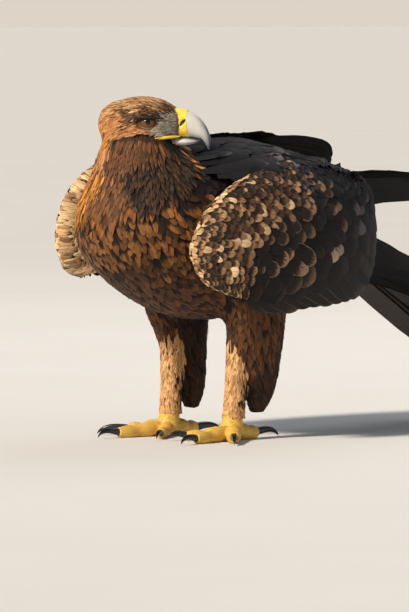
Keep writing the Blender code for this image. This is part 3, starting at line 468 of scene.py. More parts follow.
# Plumage of the head, in head coordinates: forward, distance from the midline, up
HEAD_MAP = (
    ((40, 0, 15), (-1, 0, 0.35), 6, 0.9, 1.5, 1.2, "crown"),
    ((30, 6, 21), (-1, 0, 0.3), 8, 1.1, 1.7, 1.7, "crown"),
    ((36, 10, 14), (-1, 0, 0.3), 7, 0.9, 1.5, 1.2, "brow"),
    ((18, 10, 27), (-1, 0, 0.15), 11, 1.5, 2.0, 2.2, "crown"),
    ((0, 10, 30), (-1, 0, 0), 14, 1.9, 2.4, 2.8, "crown"),
    ((-25, 10, 27), (-1, 0, -0.4), 19, 2.2, 2.8, 3.2, "crown"),
    ((6, 29, 17), (-1, 0, -0.02), 10, 1.3, 1.9, 1.8, "crown"),
    ((22, 22, 18), (-1, 0, 0.1), 8, 1.1, 1.7, 1.6, "crown"),
    # Brow rows take the dark brow tone, partly painted shade over the eye
    ((14, 31, 10.5), (-1, 0, 0.02), 7, 1.0, 1.6, 1.2, "brow"),
    ((-2, 33, 9), (-1, 0, -0.1), 9, 1.2, 1.8, 1.6, "brow"),
    ((26, 22, 9), (-1, 0, 0.12), 7, 0.9, 1.5, 1.2, "brow"),
    ((-45, 0, 5), (-0.5, 0, -1), 26, 2.6, 3.2, 4, "nape"),
    ((-36, 18, -8), (-0.5, 0, -1), 26, 2.5, 3.1, 4, "nape"),
    ((-30, 26, -24), (-0.3, 0, -1), 30, 2.5, 3.1, 4, "nape"),
    ((-14, 34, 4), (-1, 0, -0.3), 13, 1.6, 2.2, 2.4, "cheek"),
    ((-16, 34, -8), (-1, 0, -0.6), 15, 1.8, 2.4, 2.6, "cheek"),
    ((0, 35, -12), (-1, 0, -0.5), 11, 1.4, 2.0, 2.0, "cheek"),
    ((12, 31, -11), (-1, 0, -0.3), 8, 1.1, 1.7, 1.5, "cheek"),
    ((-6, 33, -20), (-0.9, 0, -0.8), 15, 1.6, 2.2, 2.4, "cheek"),
    ((4, 31, -22), (-0.6, 0, -1.0), 17, 1.5, 2.0, 2.4, "low_cheek"),
    ((14, 28, -22), (-0.45, 0, -1.0), 15, 1.3, 1.8, 2.2, "low_cheek"),
    ((-10, 29, -34), (-0.5, 0, -1), 27, 2.1, 2.7, 3.2, "low_cheek"),
    ((25, 20, -25), (-1, 0, -0.5), 11, 1.2, 1.8, 1.8, "throat"),
    ((18, 8, -33), (-0.8, 0, -0.8), 19, 1.8, 2.4, 2.6, "throat"),
    ((4, 10, -38), (-0.5, 0, -1), 28, 2.3, 2.9, 3.2, "throat"),
    ((30, 20, 1), (-1, 0, 0.1), 8, 0.38, 1.1, 0.9, "lore"),
    ((38, 16, -4), (-1, 0, 0.0), 7, 0.34, 1.05, 0.7, "lore"),
    ((30, 20, -9), (-1, 0, -0.2), 8, 0.38, 1.1, 0.9, "lore"),
    ((38, 16, -13), (-1, 0, -0.2), 6, 0.4, 1.1, 0.7, "lore"),
    ((41, 14, 4), (-1, 0, 0.2), 6, 0.4, 1.1, 0.8, "lore"),
)
# Plumage of a leg, relative to the limb's middle line: out from it, forward or back of it, height
LEG_MAP = (
    ((30, 0, 200), (0, 0.3, -1), 40, 5.4, 6, 6, "thigh"),
    ((0, -40, 190), (0, 0.15, -1), 38, 5, 5.6, 5, "thigh"),
    ((-30, 0, 180), (0, 0.3, -1), 38, 5.2, 6, 6, "belly"),
    ((0, 45, 190), (0, 0.5, -1), 42, 5.6, 6, 6, "belly"),
    ((25, 0, 130), (0, 0.3, -1), 38, 4.0, 4.8, 5, "thigh"),
    ((0, -25, 140), (0, 0.2, -1), 32, 3.6, 4.3, 4, "thigh"),
    ((0, 30, 120), (0, 0.3, -1), 40, 3.8, 4.6, 5, "trouser"),
    ((-22, 0, 120), (0, 0.3, -1), 36, 3.6, 4.6, 5, "trouser"),
    ((18, 20, 80), (0, 0.25, -1), 38, 3.2, 4.0, 4.5, "trouser"),
    ((0, 40, 60), (0, 0.15, -1), 36, 3, 3.8, 4, "trouser"),
)
SHANK_MAP = (
    ((0, -14, 130), (0, -0.05, -1), 18, 2.1, 2.7, 2.2, "shank"),
    ((13, 0, 110), (0, 0, -1), 17, 2.0, 2.6, 2.0, "shank"),
    ((-13, 0, 110), (0, 0, -1), 17, 2.0, 2.6, 2.0, "shank"),
    ((0, -14, 70), (0, 0, -1), 15, 1.8, 2.4, 1.8, "shank"),
    ((0, -14, 35), (0, 0, -1), 12, 1.6, 2.2, 1.6, "shank"),
    ((0, 14, 60), (0, 0.1, -1), 18, 2.2, 2.8, 2.2, "trouser"),
)


def smooth(table, places):
    """Cubic Hermite values of a table's further columns at places in its first column."""
    table = np.asarray(table, float)
    keys, values = table[:, 0], table[:, 1:]
    slope = np.gradient(values, keys, axis=0)
    at = np.clip(np.searchsorted(keys, places) - 1, 0, len(keys) - 2)
    span = (keys[at + 1] - keys[at])[:, None]
    u = np.clip((np.asarray(places, float)[:, None] - keys[at][:, None]) / span, 0, 1)
    return (
        (2 * u**3 - 3 * u**2 + 1) * values[at]
        + (u**3 - 2 * u**2 + u) * span * slope[at]
        + (3 * u**2 - 2 * u**3) * values[at + 1]
        + (u**3 - u**2) * span * slope[at + 1]
    )


def unit(vectors):
    """Vectors scaled to length one."""
    return vectors / np.maximum(np.linalg.norm(vectors, axis=-1, keepdims=True), 1e-9)


def full_turn(places):
    """Even angles once round, the last one short of the first."""
    return np.linspace(0, 2 * math.pi, places, endpoint=False)


def dot(first, second):
    """Scalar products, kept as a last axis of length one."""
    return (first * second).sum(-1, keepdims=True)


FRAME_SHIFT = np.array([0, TORSO[-1][0] - 1000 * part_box("torso")[1][1], 0])


def bird_to_world(points):
    """Millimetres in the bird's own frame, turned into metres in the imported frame."""
    return (np.asarray(points, float) - FRAME_SHIFT) * MM


def head_axes():
    """The head's forward, left and up directions, as rows."""
    turn, lift = math.radians(HEAD_TURN), math.radians(HEAD_LIFT)
    ahead = np.array([math.sin(turn), -math.cos(turn), 0.0])
    left = np.array([math.cos(turn), math.sin(turn), 0.0])
    up = np.array([0.0, 0.0, 1.0])
    return np.array(
        [
            ahead * math.cos(lift) + up * math.sin(lift),
            left,
            up * math.cos(lift) - ahead * math.sin(lift),
        ]
    )


HEAD_AXES = head_axes()


def on_head(points):
    """Head coordinates, forward, left and up, turned into the bird's frame."""
    return np.array(HEAD_CENTRE) + np.asarray(points, float) @ HEAD_AXES


def to_head(points):
    """The bird's frame turned into head coordinates."""
    return (np.asarray(points, float) - np.array(HEAD_CENTRE)) @ HEAD_AXES.T


# Sections of each primitive: place along it, centre across, centre up, then radii across, up, down
TORSO_SECTIONS = [
    (y, 0, (top + low) / 2, half, (top - low) / 2, (top - low) / 2) for y, top, low, half in TORSO
]
NECK_SECTIONS = [(z, x, y, wide, deep, deep) for z, y, x, deep, wide in NECK]
HEAD_SECTIONS = [(f, 0, 0, half, top, -low) for f, half, top, low in HEAD]
THIGH_SECTIONS = [(z, 0, y, wide, deep, deep) for z, y, deep, wide in sorted(THIGH)]
SHANK_SECTIONS = [(z, 0, y, wide, deep, deep) for z, y, deep, wide in sorted(SHANK)]
# Ridge over the eye and hollow round it, in head coordinates
BROW_PATH = ((-5, 31.5, 6.6), (4, 32.6, 8.5), (14, 31.2, 8.9), (23, 25.8, 8.0), (31, 18.5, 6.4))
BROW_RADII = (1.6, 3.4, 3.9, 3.4, 1.8)
ORBIT_CENTRE = (13.5, 36.5, 0.0)
ORBIT_RADII = (12.0, 8.0, 7.0)
SLOPE_STEP = 0.7
REGIONS = ("torso", "neck", "head", "thigh", "shank")
# Powers of the oval sections, and widths of the fillets that join the parts
POWERS = {"torso": 2.2, "neck": 2.0, "head": 2.2, "thigh": 2.1, "shank": 2.1}
FILLETS = {"neck": 18, "head": 10, "thigh": 16, "shank": 8, "brow": 5, "orbit": 3}


def section_field(along, across, up, table, power):
    """Signed distance to a body of oval sections, negative inside.

    At each place the point's offset from the section's centre is compared with the oval's own
    reach in that direction; beyond either end the distance to the end is added.
    """
    table = np.asarray(table, float)
    at = np.clip(along, table[0, 0], table[-1, 0])
    mid_across, mid_up, wide, high, low = smooth(table, at).T
    off_across, off_up = across - mid_across, up - mid_up
    tall = np.where(off_up > 0, high, low)
    reach = np.hypot(off_across, off_up) + 1e-6
    ratio = (np.abs(off_across / wide) ** power + np.abs(off_up / tall) ** power) ** (1 / power)
    side = np.maximum(reach * (1 - 1 / (ratio + 1e-9)), -np.minimum(wide, tall))
    past = np.abs(along - at)
    return np.where(past > 0, np.hypot(np.maximum(side, 0), past), side)


def rod_field(points, path, radii):
    """Signed distance to a rod along a bent path whose radius varies from point to point."""
    path, radii = np.asarray(path, float), np.asarray(radii, float)
    best = np.full(points.shape[:-1], 1e9)
    for first, last, start, end in zip(path[:-1], path[1:], radii[:-1], radii[1:]):
        way = last - first
        share = np.clip(((points - first) @ way) / (way @ way), 0, 1)
        gap = np.linalg.norm(points - first - share[..., None] * way, axis=-1)
        best = np.minimum(best, gap - start - share * (end - start))
    return best


def melt(first, second, width):
    """Two fields joined with a fillet: the lesser value, lowered where the two are alike."""
    near = np.maximum(width - np.abs(first - second), 0) / width
    return np.minimum(first, second) - near**2 * width / 4


def thigh_x(z):
    """Side place of a thigh's middle line."""
    return HIP_SIDE + THIGH_OUT * np.sin(math.pi * np.clip((z - THIGH[-1][0]) / THIGH_RUN, 0, 1))


def shank_x(z):
    """Side place of a shank's middle line."""
    return FOOT_SIDE + SHANK_LEAN * (z - SHANK[-1][0])


def region_fields(points):
    """Signed distances to torso, neck, head, the nearer thigh and the nearer shank, in one array."""
    x, y, z = np.moveaxis(points, -1, 0).reshape(3, -1)
    head = to_head(points).reshape(-1, 3)
    ahead, left, up = head.T
    skull = section_field(ahead, left, up, HEAD_SECTIONS, POWERS["head"])
    folded = np.stack([ahead, np.abs(left), up], -1)
    skull = melt(skull, rod_field(folded, BROW_PATH, BROW_RADII), FILLETS["brow"])
    hollow = (folded - ORBIT_CENTRE) / ORBIT_RADII
    hollow = (np.linalg.norm(hollow, axis=-1) - 1) * min(ORBIT_RADII)
    skull = -melt(-skull, hollow, FILLETS["orbit"])
    out = np.abs(x)
    fields = (
        section_field(y, x, z, TORSO_SECTIONS, POWERS["torso"]),
        section_field(z, x, y, NECK_SECTIONS, POWERS["neck"]),
        skull,
        section_field(z, out - thigh_x(z), y, THIGH_SECTIONS, POWERS["thigh"]),
        section_field(z, out - shank_x(z), y, SHANK_SECTIONS, POWERS["shank"]),
    )
    return np.stack(fields).reshape((5,) + points.shape[:-1])


def body_field(points):
    """The whole body's signed distance, its parts joined by fillets."""
    torso, neck, head, thigh, shank = region_fields(points)
    total = melt(torso, neck, FILLETS["neck"])
    total = melt(total, head, FILLETS["head"])
    total = melt(total, thigh, FILLETS["thigh"])
    return melt(total, shank, FILLETS["shank"])


def body_slope(points):
    """Gradient of the body's field by central differences."""
    steps = np.eye(3) * SLOPE_STEP
    rises = [body_field(points + step) - body_field(points - step) for step in steps]
    return np.stack(rises, -1) / (2 * SLOPE_STEP)


def settle(points, level, rounds=2):
    """Moves points along the field's slope until they lie at a level of it."""
    for _ in range(rounds):
        slope = body_slope(points)
        gap = (body_field(points) - level)[..., None]
        step = gap * slope / np.maximum(dot(slope, slope), 0.2)
        points = points - np.clip(step, -12, 12)
    return points


def shell_x(y, z, wing):
    """How far out from the midline the wing's outer face lies: a half ellipsoid tucked in below."""
    reach = np.where(y < SHELL_MIDDLE_Y, *wing["reach"])
    along = np.sqrt(np.clip(1 - ((y - SHELL_MIDDLE_Y) / reach) ** 2, 0.004, 1))
    over = np.maximum(z - wing["middle"], 0)
    under = np.maximum(wing["middle"] - z, 0)
    above = np.sqrt(np.clip(1 - (over / SHELL_HALF_TOP) ** 2, 0.004, 1))
    below = 1 - SHELL_TUCK * (under / SHELL_DROP) ** 2
    return SHELL_CORE + SHELL_BULGE * along * above * below


def shell(y, z, depth, wing):
    """Point on the wing shell, moved inwards along its normal by the depth."""
    slope_y = (shell_x(y + 1, z, wing) - shell_x(y - 1, z, wing)) / 2
    slope_z = (shell_x(y, z + 1, wing) - shell_x(y, z - 1, wing)) / 2
    normal = unit(np.stack([np.ones_like(slope_y), -slope_y, -slope_z], -1))
    face = np.stack([shell_x(y, z, wing), y, z], -1)
    return (face - np.asarray(depth, float)[..., None] * normal) * (wing["side"], 1, 1)


def flow(s, t, wing):
    """Side-view place at share s along flow line t, from the leading edge to the tips."""
    s, t = np.broadcast_arrays(np.asarray(s, float), np.asarray(t, float))
    lead_y, lead_z, tip_y, tip_z = smooth(wing["flow"], t.ravel()).T.reshape(4, *t.shape)
    bow = FLOW_BOW * np.sin(math.pi * np.clip(s, 0, 1))
    return lead_y + s * (tip_y - lead_y), lead_z + s * (tip_z - lead_z) + bow


def arm_surface(wing):
    """Surface of the fleshy arm: share s from the leading edge, below zero on its inner face."""

    def surface(s, t):
        swell = np.sqrt(np.clip(1 - (1 - np.clip(np.abs(s) / ARM_NOSE, 0, 1)) ** 2, 0, 1))
        middle = 0.4 * (ARM_OUTER + ARM_INNER)
        thin = 1 - ARM_THINNING * t**2
        inner = ARM_OUTER + (ARM_INNER - ARM_OUTER) * thin
        depth = middle + (np.where(s >= 0, ARM_OUTER, inner) - middle) * swell
        y, z = flow(np.abs(s), t, wing)
        return shell(y, z, depth, wing)

    return surface


def on_patch(surface, s, t, lift, side):
    """Points of a two-way surface, raised along its outward normal, and that normal."""
    step = 0.004
    along = surface(s + step, t) - surface(s - step, t)
    over = surface(s, t + step) - surface(s, t - step)
    normal = unit(np.cross(along, over)) * side
    return surface(s, t) + np.asarray(lift, float)[..., None] * normal, normal


# Outlines of a rounded and of a pointed feather: share along it, half width as a share
ROUND_VANE = ((0, 0.3), (0.25, 0.78), (0.55, 1.0), (0.82, 0.97), (0.91, 0.84), (0.965, 0.58), (1.0, 0.16))
LANCE_VANE = ((0, 0.5), (0.25, 0.9), (0.5, 1.0), (0.75, 0.74), (0.92, 0.34), (1.0, 0.04))


def vane_width(shares, pointed):
    """Half width along a feather as a share of its greatest, from rounded to lance shaped."""
    blunt = np.interp(shares, *zip(*ROUND_VANE))
    lance = np.interp(shares, *zip(*LANCE_VANE))
    pointed = np.asarray(pointed, float)[:, None]
    return blunt * (1 - pointed) + lance * pointed


def mesh_object(name, points, loops, sizes, corner_maps=None, point_colours=None):
    """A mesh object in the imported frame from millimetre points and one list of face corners."""
    mesh = bpy.data.meshes.new(name)
    mesh.vertices.add(len(points))
    mesh.vertices.foreach_set("co", bird_to_world(points).astype(np.float32).ravel())
    mesh.loops.add(len(loops))
    mesh.loops.foreach_set("vertex_index", loops.astype(np.int32))
    starts = np.concatenate([[0], np.cumsum(sizes)[:-1]])
    mesh.polygons.add(len(sizes))
    mesh.polygons.foreach_set("loop_start", starts.astype(np.int32))
    mesh.update(calc_edges=True)
    for key, values in (corner_maps or {}).items():
        layer = mesh.uv_layers.new(name=key)
        layer.uv.foreach_set("vector", values[loops].astype(np.float32).ravel())
    for key, values in (point_colours or {}).items():
        layer = mesh.attributes.new(key, "FLOAT_COLOR", "POINT")
        layer.data.foreach_set("color", values.astype(np.float32).ravel())
    made = bpy.data.objects.new(name, mesh)
    bpy.context.scene.collection.objects.link(made)
    return made


def grid_object(name, points, ends=True, maps=None):
    """A mesh over a grid of rings, an array of ring, place round it and coordinate.

    Quads join neighbouring rings; a closed ring's first and last ones get a face of their own.
    """
    rings, places = points.shape[:2]
    ring = np.arange(rings - 1)[:, None] * places
    here = np.arange(places)[None]
    after = (here + 1) % places
    quads = np.stack([ring + here, ring + after, ring + places + after, ring + places + here], -1)
    loops = [quads.reshape(-1)]
    sizes = [np.full(quads.size // 4, 4)]
    if ends:
        loops.append(np.arange(places)[::-1])
        loops.append((rings - 1) * places + np.arange(places))
        sizes.append(np.array([places, places]))
    made = mesh_object(name, points.reshape(-1, 3), np.concatenate(loops), np.concatenate(sizes), maps)
    face_out(made.data)
    made.data.shade_smooth()
    return made


def fuse_rings(name, pieces, cell):
    """One closed surface from lofts that overlap, by a voxel remesh with cells of one size."""
    shape = bmesh.new()
    for rings in pieces:
        loft = grid_object("loft", rings)
        shape.from_mesh(loft.data)
        bpy.data.objects.remove(loft, do_unlink=True)
    mesh = bpy.data.meshes.new(name)
    shape.to_mesh(mesh)
    shape.free()
    made = bpy.data.objects.new(name, mesh)
    bpy.context.scene.collection.objects.link(made)
    fuse = made.modifiers.new("fuse", "REMESH")
    fuse.mode = "VOXEL"
    fuse.voxel_size = cell
    graph = bpy.context.evaluated_depsgraph_get()
    made.data = bpy.data.meshes.new_from_object(made.evaluated_get(graph))
    made.modifiers.clear()
    made.data.name = name
    made.data.shade_smooth()
    return made


def face_out(mesh):
    """Turns every face of a closed mesh outwards."""
    shape = bmesh.new()
    shape.from_mesh(mesh)
    bmesh.ops.recalc_face_normals(shape, faces=shape.faces[:])
    shape.to_mesh(mesh)
    shape.free()


def vane_object(name, spine, across, up, half, bend, bake, thick, marks, shares, columns=3):
    """Closed feather vanes in one mesh.

    Each vane is a strip: along it run the spine's stations, across it the columns from -1 to 1.
    Its upper face bows down to both edges by the square of the half width over twice the bend,
    and its lower face lies below by the thickness, which runs out to nothing at the edges.
    """
    count, stations = spine.shape[:2]
    place = np.linspace(-1, 1, columns)
    inner = place[1:-1][::-1]
    ring = np.concatenate([place, inner])
    top = np.concatenate([np.ones(columns), np.zeros(columns - 2)])
    wide = ring[None, None] * half[..., None]
    sag = wide**2 / (2 * np.asarray(bend, float).reshape(-1, 1, 1))
    body = (top - 0.5) * (1 - ring**2)
    rise = np.asarray(thick, float).reshape(-1, 1, 1) * body - sag
    points = (
        spine[:, :, None]
        + across[:, :, None] * wide[..., None]
        + up[:, :, None] * rise[..., None]
    )
    size = len(ring)
    base = np.arange(count)[:, None, None] * stations * size
    row = np.arange(stations - 1)[None, :, None] * size
    here = np.arange(size)[None, None]
    after = (here + 1) % size
    quads = np.stack(
        [base + row + here, base + row + after, base + row + size + after, base + row + size + here],
        -1,
    )
    start = (base[:, 0] + np.arange(size)[::-1]).reshape(-1)
    end = (base[:, 0] + (stations - 1) * size + np.arange(size)).reshape(-1)
    loops = np.concatenate([quads.reshape(-1), start, end])
    sizes = np.concatenate([np.full(quads.size // 4, 4), np.full(2 * count, size)])
    vane = np.empty((count, stations, size, 2))
    vane[..., 0] = (ring + 1) / 2
    vane[..., 1] = shares[None, :, None]
    patch = (vane - 0.5) * BAKE_PATCH + np.clip(bake, 0.01, 0.99)[:, None, None]
    spread = (count, stations, size, 4)
    colours = {
        key: np.broadcast_to(value[:, None, None], spread).reshape(-1, 4)
        for key, value in marks.items()
    }
    maps = {"Vane": vane.reshape(-1, 2), "OFBake": patch.reshape(-1, 2)}
    made = mesh_object(name, points.reshape(-1, 3), loops, sizes, maps, colours)
    made.data.shade_smooth()
    made.data.set_sharp_from_angle(angle=math.radians(SHARP_ANGLE))
    return made


def feather_marks(rng, tones, half, length):
    """Colours and traits of many feathers from the names of their tones.

    Ground and Rim are colours with a slight random shade. Traits holds where the rim starts, its
    width at the edges, a random number and the shaft's strength. Measure holds width and length
    in tenths of a metre.
    """
    count = len(tones)
    table = {key: np.concatenate(value[:2]) for key, value in TONES.items()}
    colours = np.array([table[tone] for tone in tones])
    shade = np.exp(rng.normal(0, 0.16, (count, 1)))
    warm = 1 + rng.normal(0, 0.05, (count, 3)) * (1, 0.5, 1)
    ground = np.clip(colours[:, :3] * shade * warm, 0.001, 0.95)
    strength = rng.beta(1.7, 1.2, (count, 1))
    rim = colours[:, :3] + (colours[:, 3:] - colours[:, :3]) * strength
    rim = np.clip(rim * np.exp(rng.normal(0, 0.1, (count, 1))), 0.001, 0.95)
    start = np.array([TONES[tone][2] for tone in tones]) + rng.normal(0, 0.05, count)
    edge = np.array([TONES[tone][4] for tone in tones]) * rng.uniform(0.7, 1.3, count)
    traits = np.stack([start, edge, rng.uniform(0, 1, count), rng.uniform(0.2, 1, count)], 1)
    measure = np.stack([2 * half / 100, length / 100, 0 * half, 0 * half], 1)
    one = np.ones((count, 1))
    return {
        "Ground": np.hstack([ground, one]),
        "Rim": np.hstack([rim, one]),
        "Traits": traits,
        "Measure": measure,
    }


def read_map(points, table):
    """Weighted mean of a table's controls at points, weights falling with the fourth power.

    Gives lie directions, the four numbers of each control, and the weights themselves.
    """
    spots = np.array([row[0] for row in table], float)
    lies = unit(np.array([row[1] for row in table], float))
    numbers = np.array([row[2:6] for row in table], float)
    gap = ((points[:, None] - spots[None]) ** 2).sum(-1)
    weight = 1 / (gap + 16) ** 2
    weight /= weight.sum(1, keepdims=True)
    return weight @ lies, weight @ numbers, weight


def draw_tones(rng, weight, table):
    """One tone a point, drawn with its controls' weights, so that neighbours mix."""
    sharp = weight**1.5
    sharp /= sharp.sum(1, keepdims=True)
    pick = (np.cumsum(sharp, 1) < rng.uniform(0, 1, (len(weight), 1))).sum(1)
    names = [row[6] for row in table]
    return [names[min(k, len(names) - 1)] for k in pick]


def eye_share(ahead, up):
    """Distance from the eye's middle, counted so that the opening between the lids ends at 1."""
    rise = up - EYE_PLACE[2]
    tall = np.where(rise > 0, EYE_OPENING[1], EYE_OPENING[2])
    return np.hypot((ahead - EYE_PLACE[0] - 0.4) / EYE_OPENING[0], rise / tall)


def round_the_eye(lies, ahead, up):
    """Lie directions turned aside where they would run into the eye."""
    across = (ahead - EYE_PLACE[0]) / EYE_OPENING[0] ** 2
    over = (up - EYE_PLACE[2]) / EYE_OPENING[1] ** 2
    out = unit(np.stack([across, 0 * across, over], 1) + 1e-6)
    inward = np.minimum(dot(lies, out), 0)
    near = np.exp(-((np.maximum(eye_share(ahead, up) - 1, 0) / 0.6) ** 2))[:, None]
    return unit(lies - 1.15 * near * inward * out)


def mirrored(lies, side, axis=0):
    """Lie directions with one coordinate turned over where the side is negative."""
    return lies * np.where(np.arange(3) == axis, side[:, None], 1)


def plumage_at(points, region):
    """Lie, length, half width, spacing, coat depth and tone weights for points of one region."""
    x, y, z = points.T
    mirror = np.where(x < 0, -1.0, 1.0)
    if region == "torso":
        local = np.stack([np.abs(x), y, z], 1)
        lies, numbers, weight = read_map(local, BODY_MAP)
        return mirrored(lies, mirror), numbers, weight, BODY_MAP
    if region == "neck":
        lies, numbers, weight = read_map(points, NECK_MAP)
        return lies, numbers, weight, NECK_MAP
    if region == "head":
        ahead, left, up = to_head(points).T
        lies, numbers, weight = read_map(np.stack([ahead, np.abs(left), up], 1), HEAD_MAP)
        lies = mirrored(round_the_eye(lies, ahead, up), np.where(left < 0, -1.0, 1.0), 1)
        return lies @ HEAD_AXES, numbers, weight, HEAD_MAP
    table, middle = (LEG_MAP, thigh_x(z)) if region == "thigh" else (SHANK_MAP, shank_x(z))
    local = np.stack([np.abs(x) - middle, y, z], 1)
    lies, numbers, weight = read_map(local, table)
    return mirrored(lies, mirror), numbers, weight, table


def bake_place(points, region):
    """Place on an unwrap of the skin: turn round the part's own axis, and share along it."""
    x, y, z = points.T
    if region == "torso":
        return np.stack([np.arctan2(x, z - 228) / (2 * math.pi) + 0.5, (y + 175) / 345], 1)
    if region == "neck":
        return np.stack([np.arctan2(x, -y - 88) / (2 * math.pi) + 0.5, (z - 195) / 140], 1)
    if region == "head":
        ahead, left, up = to_head(points).T
        return np.stack([np.arctan2(left, up) / (2 * math.pi) + 0.5, (ahead + 52) / 100], 1)
    middle, low, tall = (thigh_x(z), 15, 235) if region == "thigh" else (shank_x(z), 15, 135)
    turn = np.arctan2(np.abs(x) - middle, 8 - y) / (2 * math.pi) + 0.5
    return np.stack([0.5 * turn + np.where(x > 0, 0.5, 0), (z - low) / tall], 1)


def thin_out(points, spacing):
    """Indices kept so that no point lies nearer to an earlier one than that one's spacing."""
    tree = kdtree.KDTree(len(points))
    for index, point in enumerate(points.tolist()):
        tree.insert(point, index)
    tree.balance()
    alive = np.ones(len(points), bool)
    kept = []
    for index, point in enumerate(points.tolist()):
        if alive[index]:
            kept.append(index)
            for _, near, _ in tree.find_range(point, spacing[index]):
                alive[near] = False
    return np.array(kept)


def make_skin(cell):
    """The bare skin as one surface: lofted parts fused by a voxel remesh, then drawn in.

    Every vertex is moved along the field's slope to the level of the coat's depth there.
    """
    trunk = (("torso", TORSO_SECTIONS), ("neck", NECK_SECTIONS), ("head", HEAD_SECTIONS))
    limb = (("thigh", THIGH_SECTIONS), ("shank", SHANK_SECTIONS))
    pieces = [loft_rings(*part, 1) for part in trunk]
    pieces += [loft_rings(*part, side) for _, side in SIDES for part in limb]
    skin = fuse_rings("skin", pieces, cell)
    fused = skin.data
    points = mesh_points(fused)
    regions = region_of(points)
    depth = np.zeros(len(points))
    colours = np.ones((len(points), 4))
    for number, region in enumerate(REGIONS):
        chosen = regions == number
        _, numbers, weight, table = plumage_at(points[chosen], region)
        depth[chosen] = numbers[:, 3]
        tones = np.array([0.75 * TONES[row[6]][0] + 0.15 * TONES[row[6]][1] for row in table])
        colours[chosen, :3] = weight @ tones
    points = settle(points, -depth - SKIN_BELOW, 3)
    fused.vertices.foreach_set("co", bird_to_world(points).astype(np.float32).ravel())
    stored = fused.attributes.new("Ground", "FLOAT_COLOR", "POINT")
    stored.data.foreach_set("color", colours.astype(np.float32).ravel())
    fused.update()
    return skin


def loft_rings(region, table, side):
    """Oval rings of one primitive, in the bird's frame."""
    table = np.asarray(table, float)
    along = np.linspace(table[0, 0], table[-1, 0], LOFT_RINGS)
    mid_across, mid_up, wide, high, low = smooth(table, along).T[..., None]
    turn = full_turn(LOFT_PLACES)
    across = np.sign(np.cos(turn)) * np.abs(np.cos(turn)) ** 0.92 * wide + mid_across
    up = np.sign(np.sin(turn)) * np.abs(np.sin(turn)) ** 0.92
    up = np.where(up > 0, up * high, up * low) + mid_up
    along = along[:, None] + 0 * across
    if region == "torso":
        return np.stack([across, along, up], -1)
    if region == "head":
        return on_head(np.stack([along, across, up], -1))
    if region == "neck":
        return np.stack([across, up, along], -1)
    middle = thigh_x(along) if region == "thigh" else shank_x(along)
    return np.stack([side * middle + across, up, along], -1)


def mesh_points(mesh):
    """A mesh's vertices in millimetres of the bird's own frame."""
    flat = np.empty(len(mesh.vertices) * 3, np.float32)
    mesh.vertices.foreach_get("co", flat)
    return flat.reshape(-1, 3).astype(float) / MM + FRAME_SHIFT


def region_of(points):
    """Number of the body part whose field is least at each point."""
    return np.argmin(region_fields(points), axis=0)


def skin_samples(skin, rng, crowd):
    """Points spread over the skin, as dense as the plumage there asks for."""
    mesh = skin.data
    mesh.calc_loop_triangles()
    corners = np.empty(len(mesh.loop_triangles) * 3, np.int32)
    mesh.loop_triangles.foreach_get("vertices", corners)
    spots = mesh_points(mesh)[corners.reshape(-1, 3)]
    centre = spots.mean(1)
    regions = region_of(centre)
    spacing = np.ones(len(centre))
    for number, region in enumerate(REGIONS):
        chosen = regions == number
        spacing[chosen] = plumage_at(centre[chosen], region)[1][:, 2]
    area = np.linalg.norm(np.cross(spots[:, 1] - spots[:, 0], spots[:, 2] - spots[:, 0]), axis=1) / 2
    wanted = area / spacing**2
    count = int(wanted.sum() * crowd)
    pick = rng.choice(len(area), count, p=wanted / wanted.sum())
    first, second = rng.uniform(0, 1, (2, count, 1))
    over = first + second > 1
    first, second = np.where(over, 1 - first, first), np.where(over, 1 - second, second)
    corner = spots[pick]
    return corner[:, 0] + first * (corner[:, 1] - corner[:, 0]) + second * (corner[:, 2] - corner[:, 0])


def clear_of_face(points, tips):
    """True where a head feather neither grows from nor reaches over the eye, bill or mouth line."""
    free = np.ones(len(points), bool)
    start, low, high, side, mouth_radius = BARE_FACE
    for spots, slack in ((to_head(points), 1.0), (to_head(tips), 0.9)):
        ahead, left, up = spots[:, 0], np.abs(spots[:, 1]), spots[:, 2]
        eye = (eye_share(ahead, up) < slack) & (left > side)
        bill = (ahead > start) & (up < high) & (up > low)
        radii = [mouth_radius * slack] * len(LIP)
        mouth = rod_field(np.stack([ahead, left, up], -1), LIP, radii) < 0
        free &= ~(eye | bill | mouth)
    return free


def body_spines(points, lie, length, depth, shares, rng, lift):
    """Spines that follow the skin and climb from its level to the outline.

    From each root the spine steps along its lie, which is kept tangent to the field at every
    station, and each station is moved to its own level between the coat's depth and the lift.
    """
    count, stations = len(points), len(shares)
    spine = np.empty((count, stations, 3))
    up = np.empty((count, stations, 3))
    root = -depth + ROOT_RISE
    spot = settle(points, root, 2)
    sway = rng.normal(0, SWAY_SPREAD, (count, 1))
    way = lie
    for station, share in enumerate(shares):
        slope = unit(body_slope(spot))
        way = unit(way - dot(way, slope) * slope)
        if station == 0:
            way = unit(way + sway * np.cross(slope, way))
        spine[:, station], up[:, station] = spot, slope
        if station + 1 < stations:
            spot = spot + way * (length * (shares[station + 1] - share))[:, None]
            rise = shares[station + 1] ** 0.8
            spot = settle(spot, root + (lift + depth - ROOT_RISE) * rise, 1)
    return spine, up


def cross_directions(spine, up, roll):
    """Unit directions across and over each spine, rolled about it by an angle."""
    along = unit(np.gradient(spine, axis=1))
    across = unit(np.cross(along, up))
    up = np.cross(across, along)
    turn = roll[:, None, None]
    return across * np.cos(turn) + up * np.sin(turn), up * np.cos(turn) - across * np.sin(turn)


# Stations along a feather as shares of its length: body, small, covert and flight feathers
BODY_SHARES = np.array([0, 0.3, 0.58, 0.8, 0.94, 1.0])
SMALL_SHARES = np.array([0, 0.4, 0.75, 1.0])
VANE_SHARES = np.array([0, 0.32, 0.6, 0.8, 0.91, 0.97, 1.0])
LONG_SHARES = np.array([0, 0.16, 0.32, 0.47, 0.6, 0.72, 0.82, 0.89, 0.93, 0.96, 0.985, 1.0])


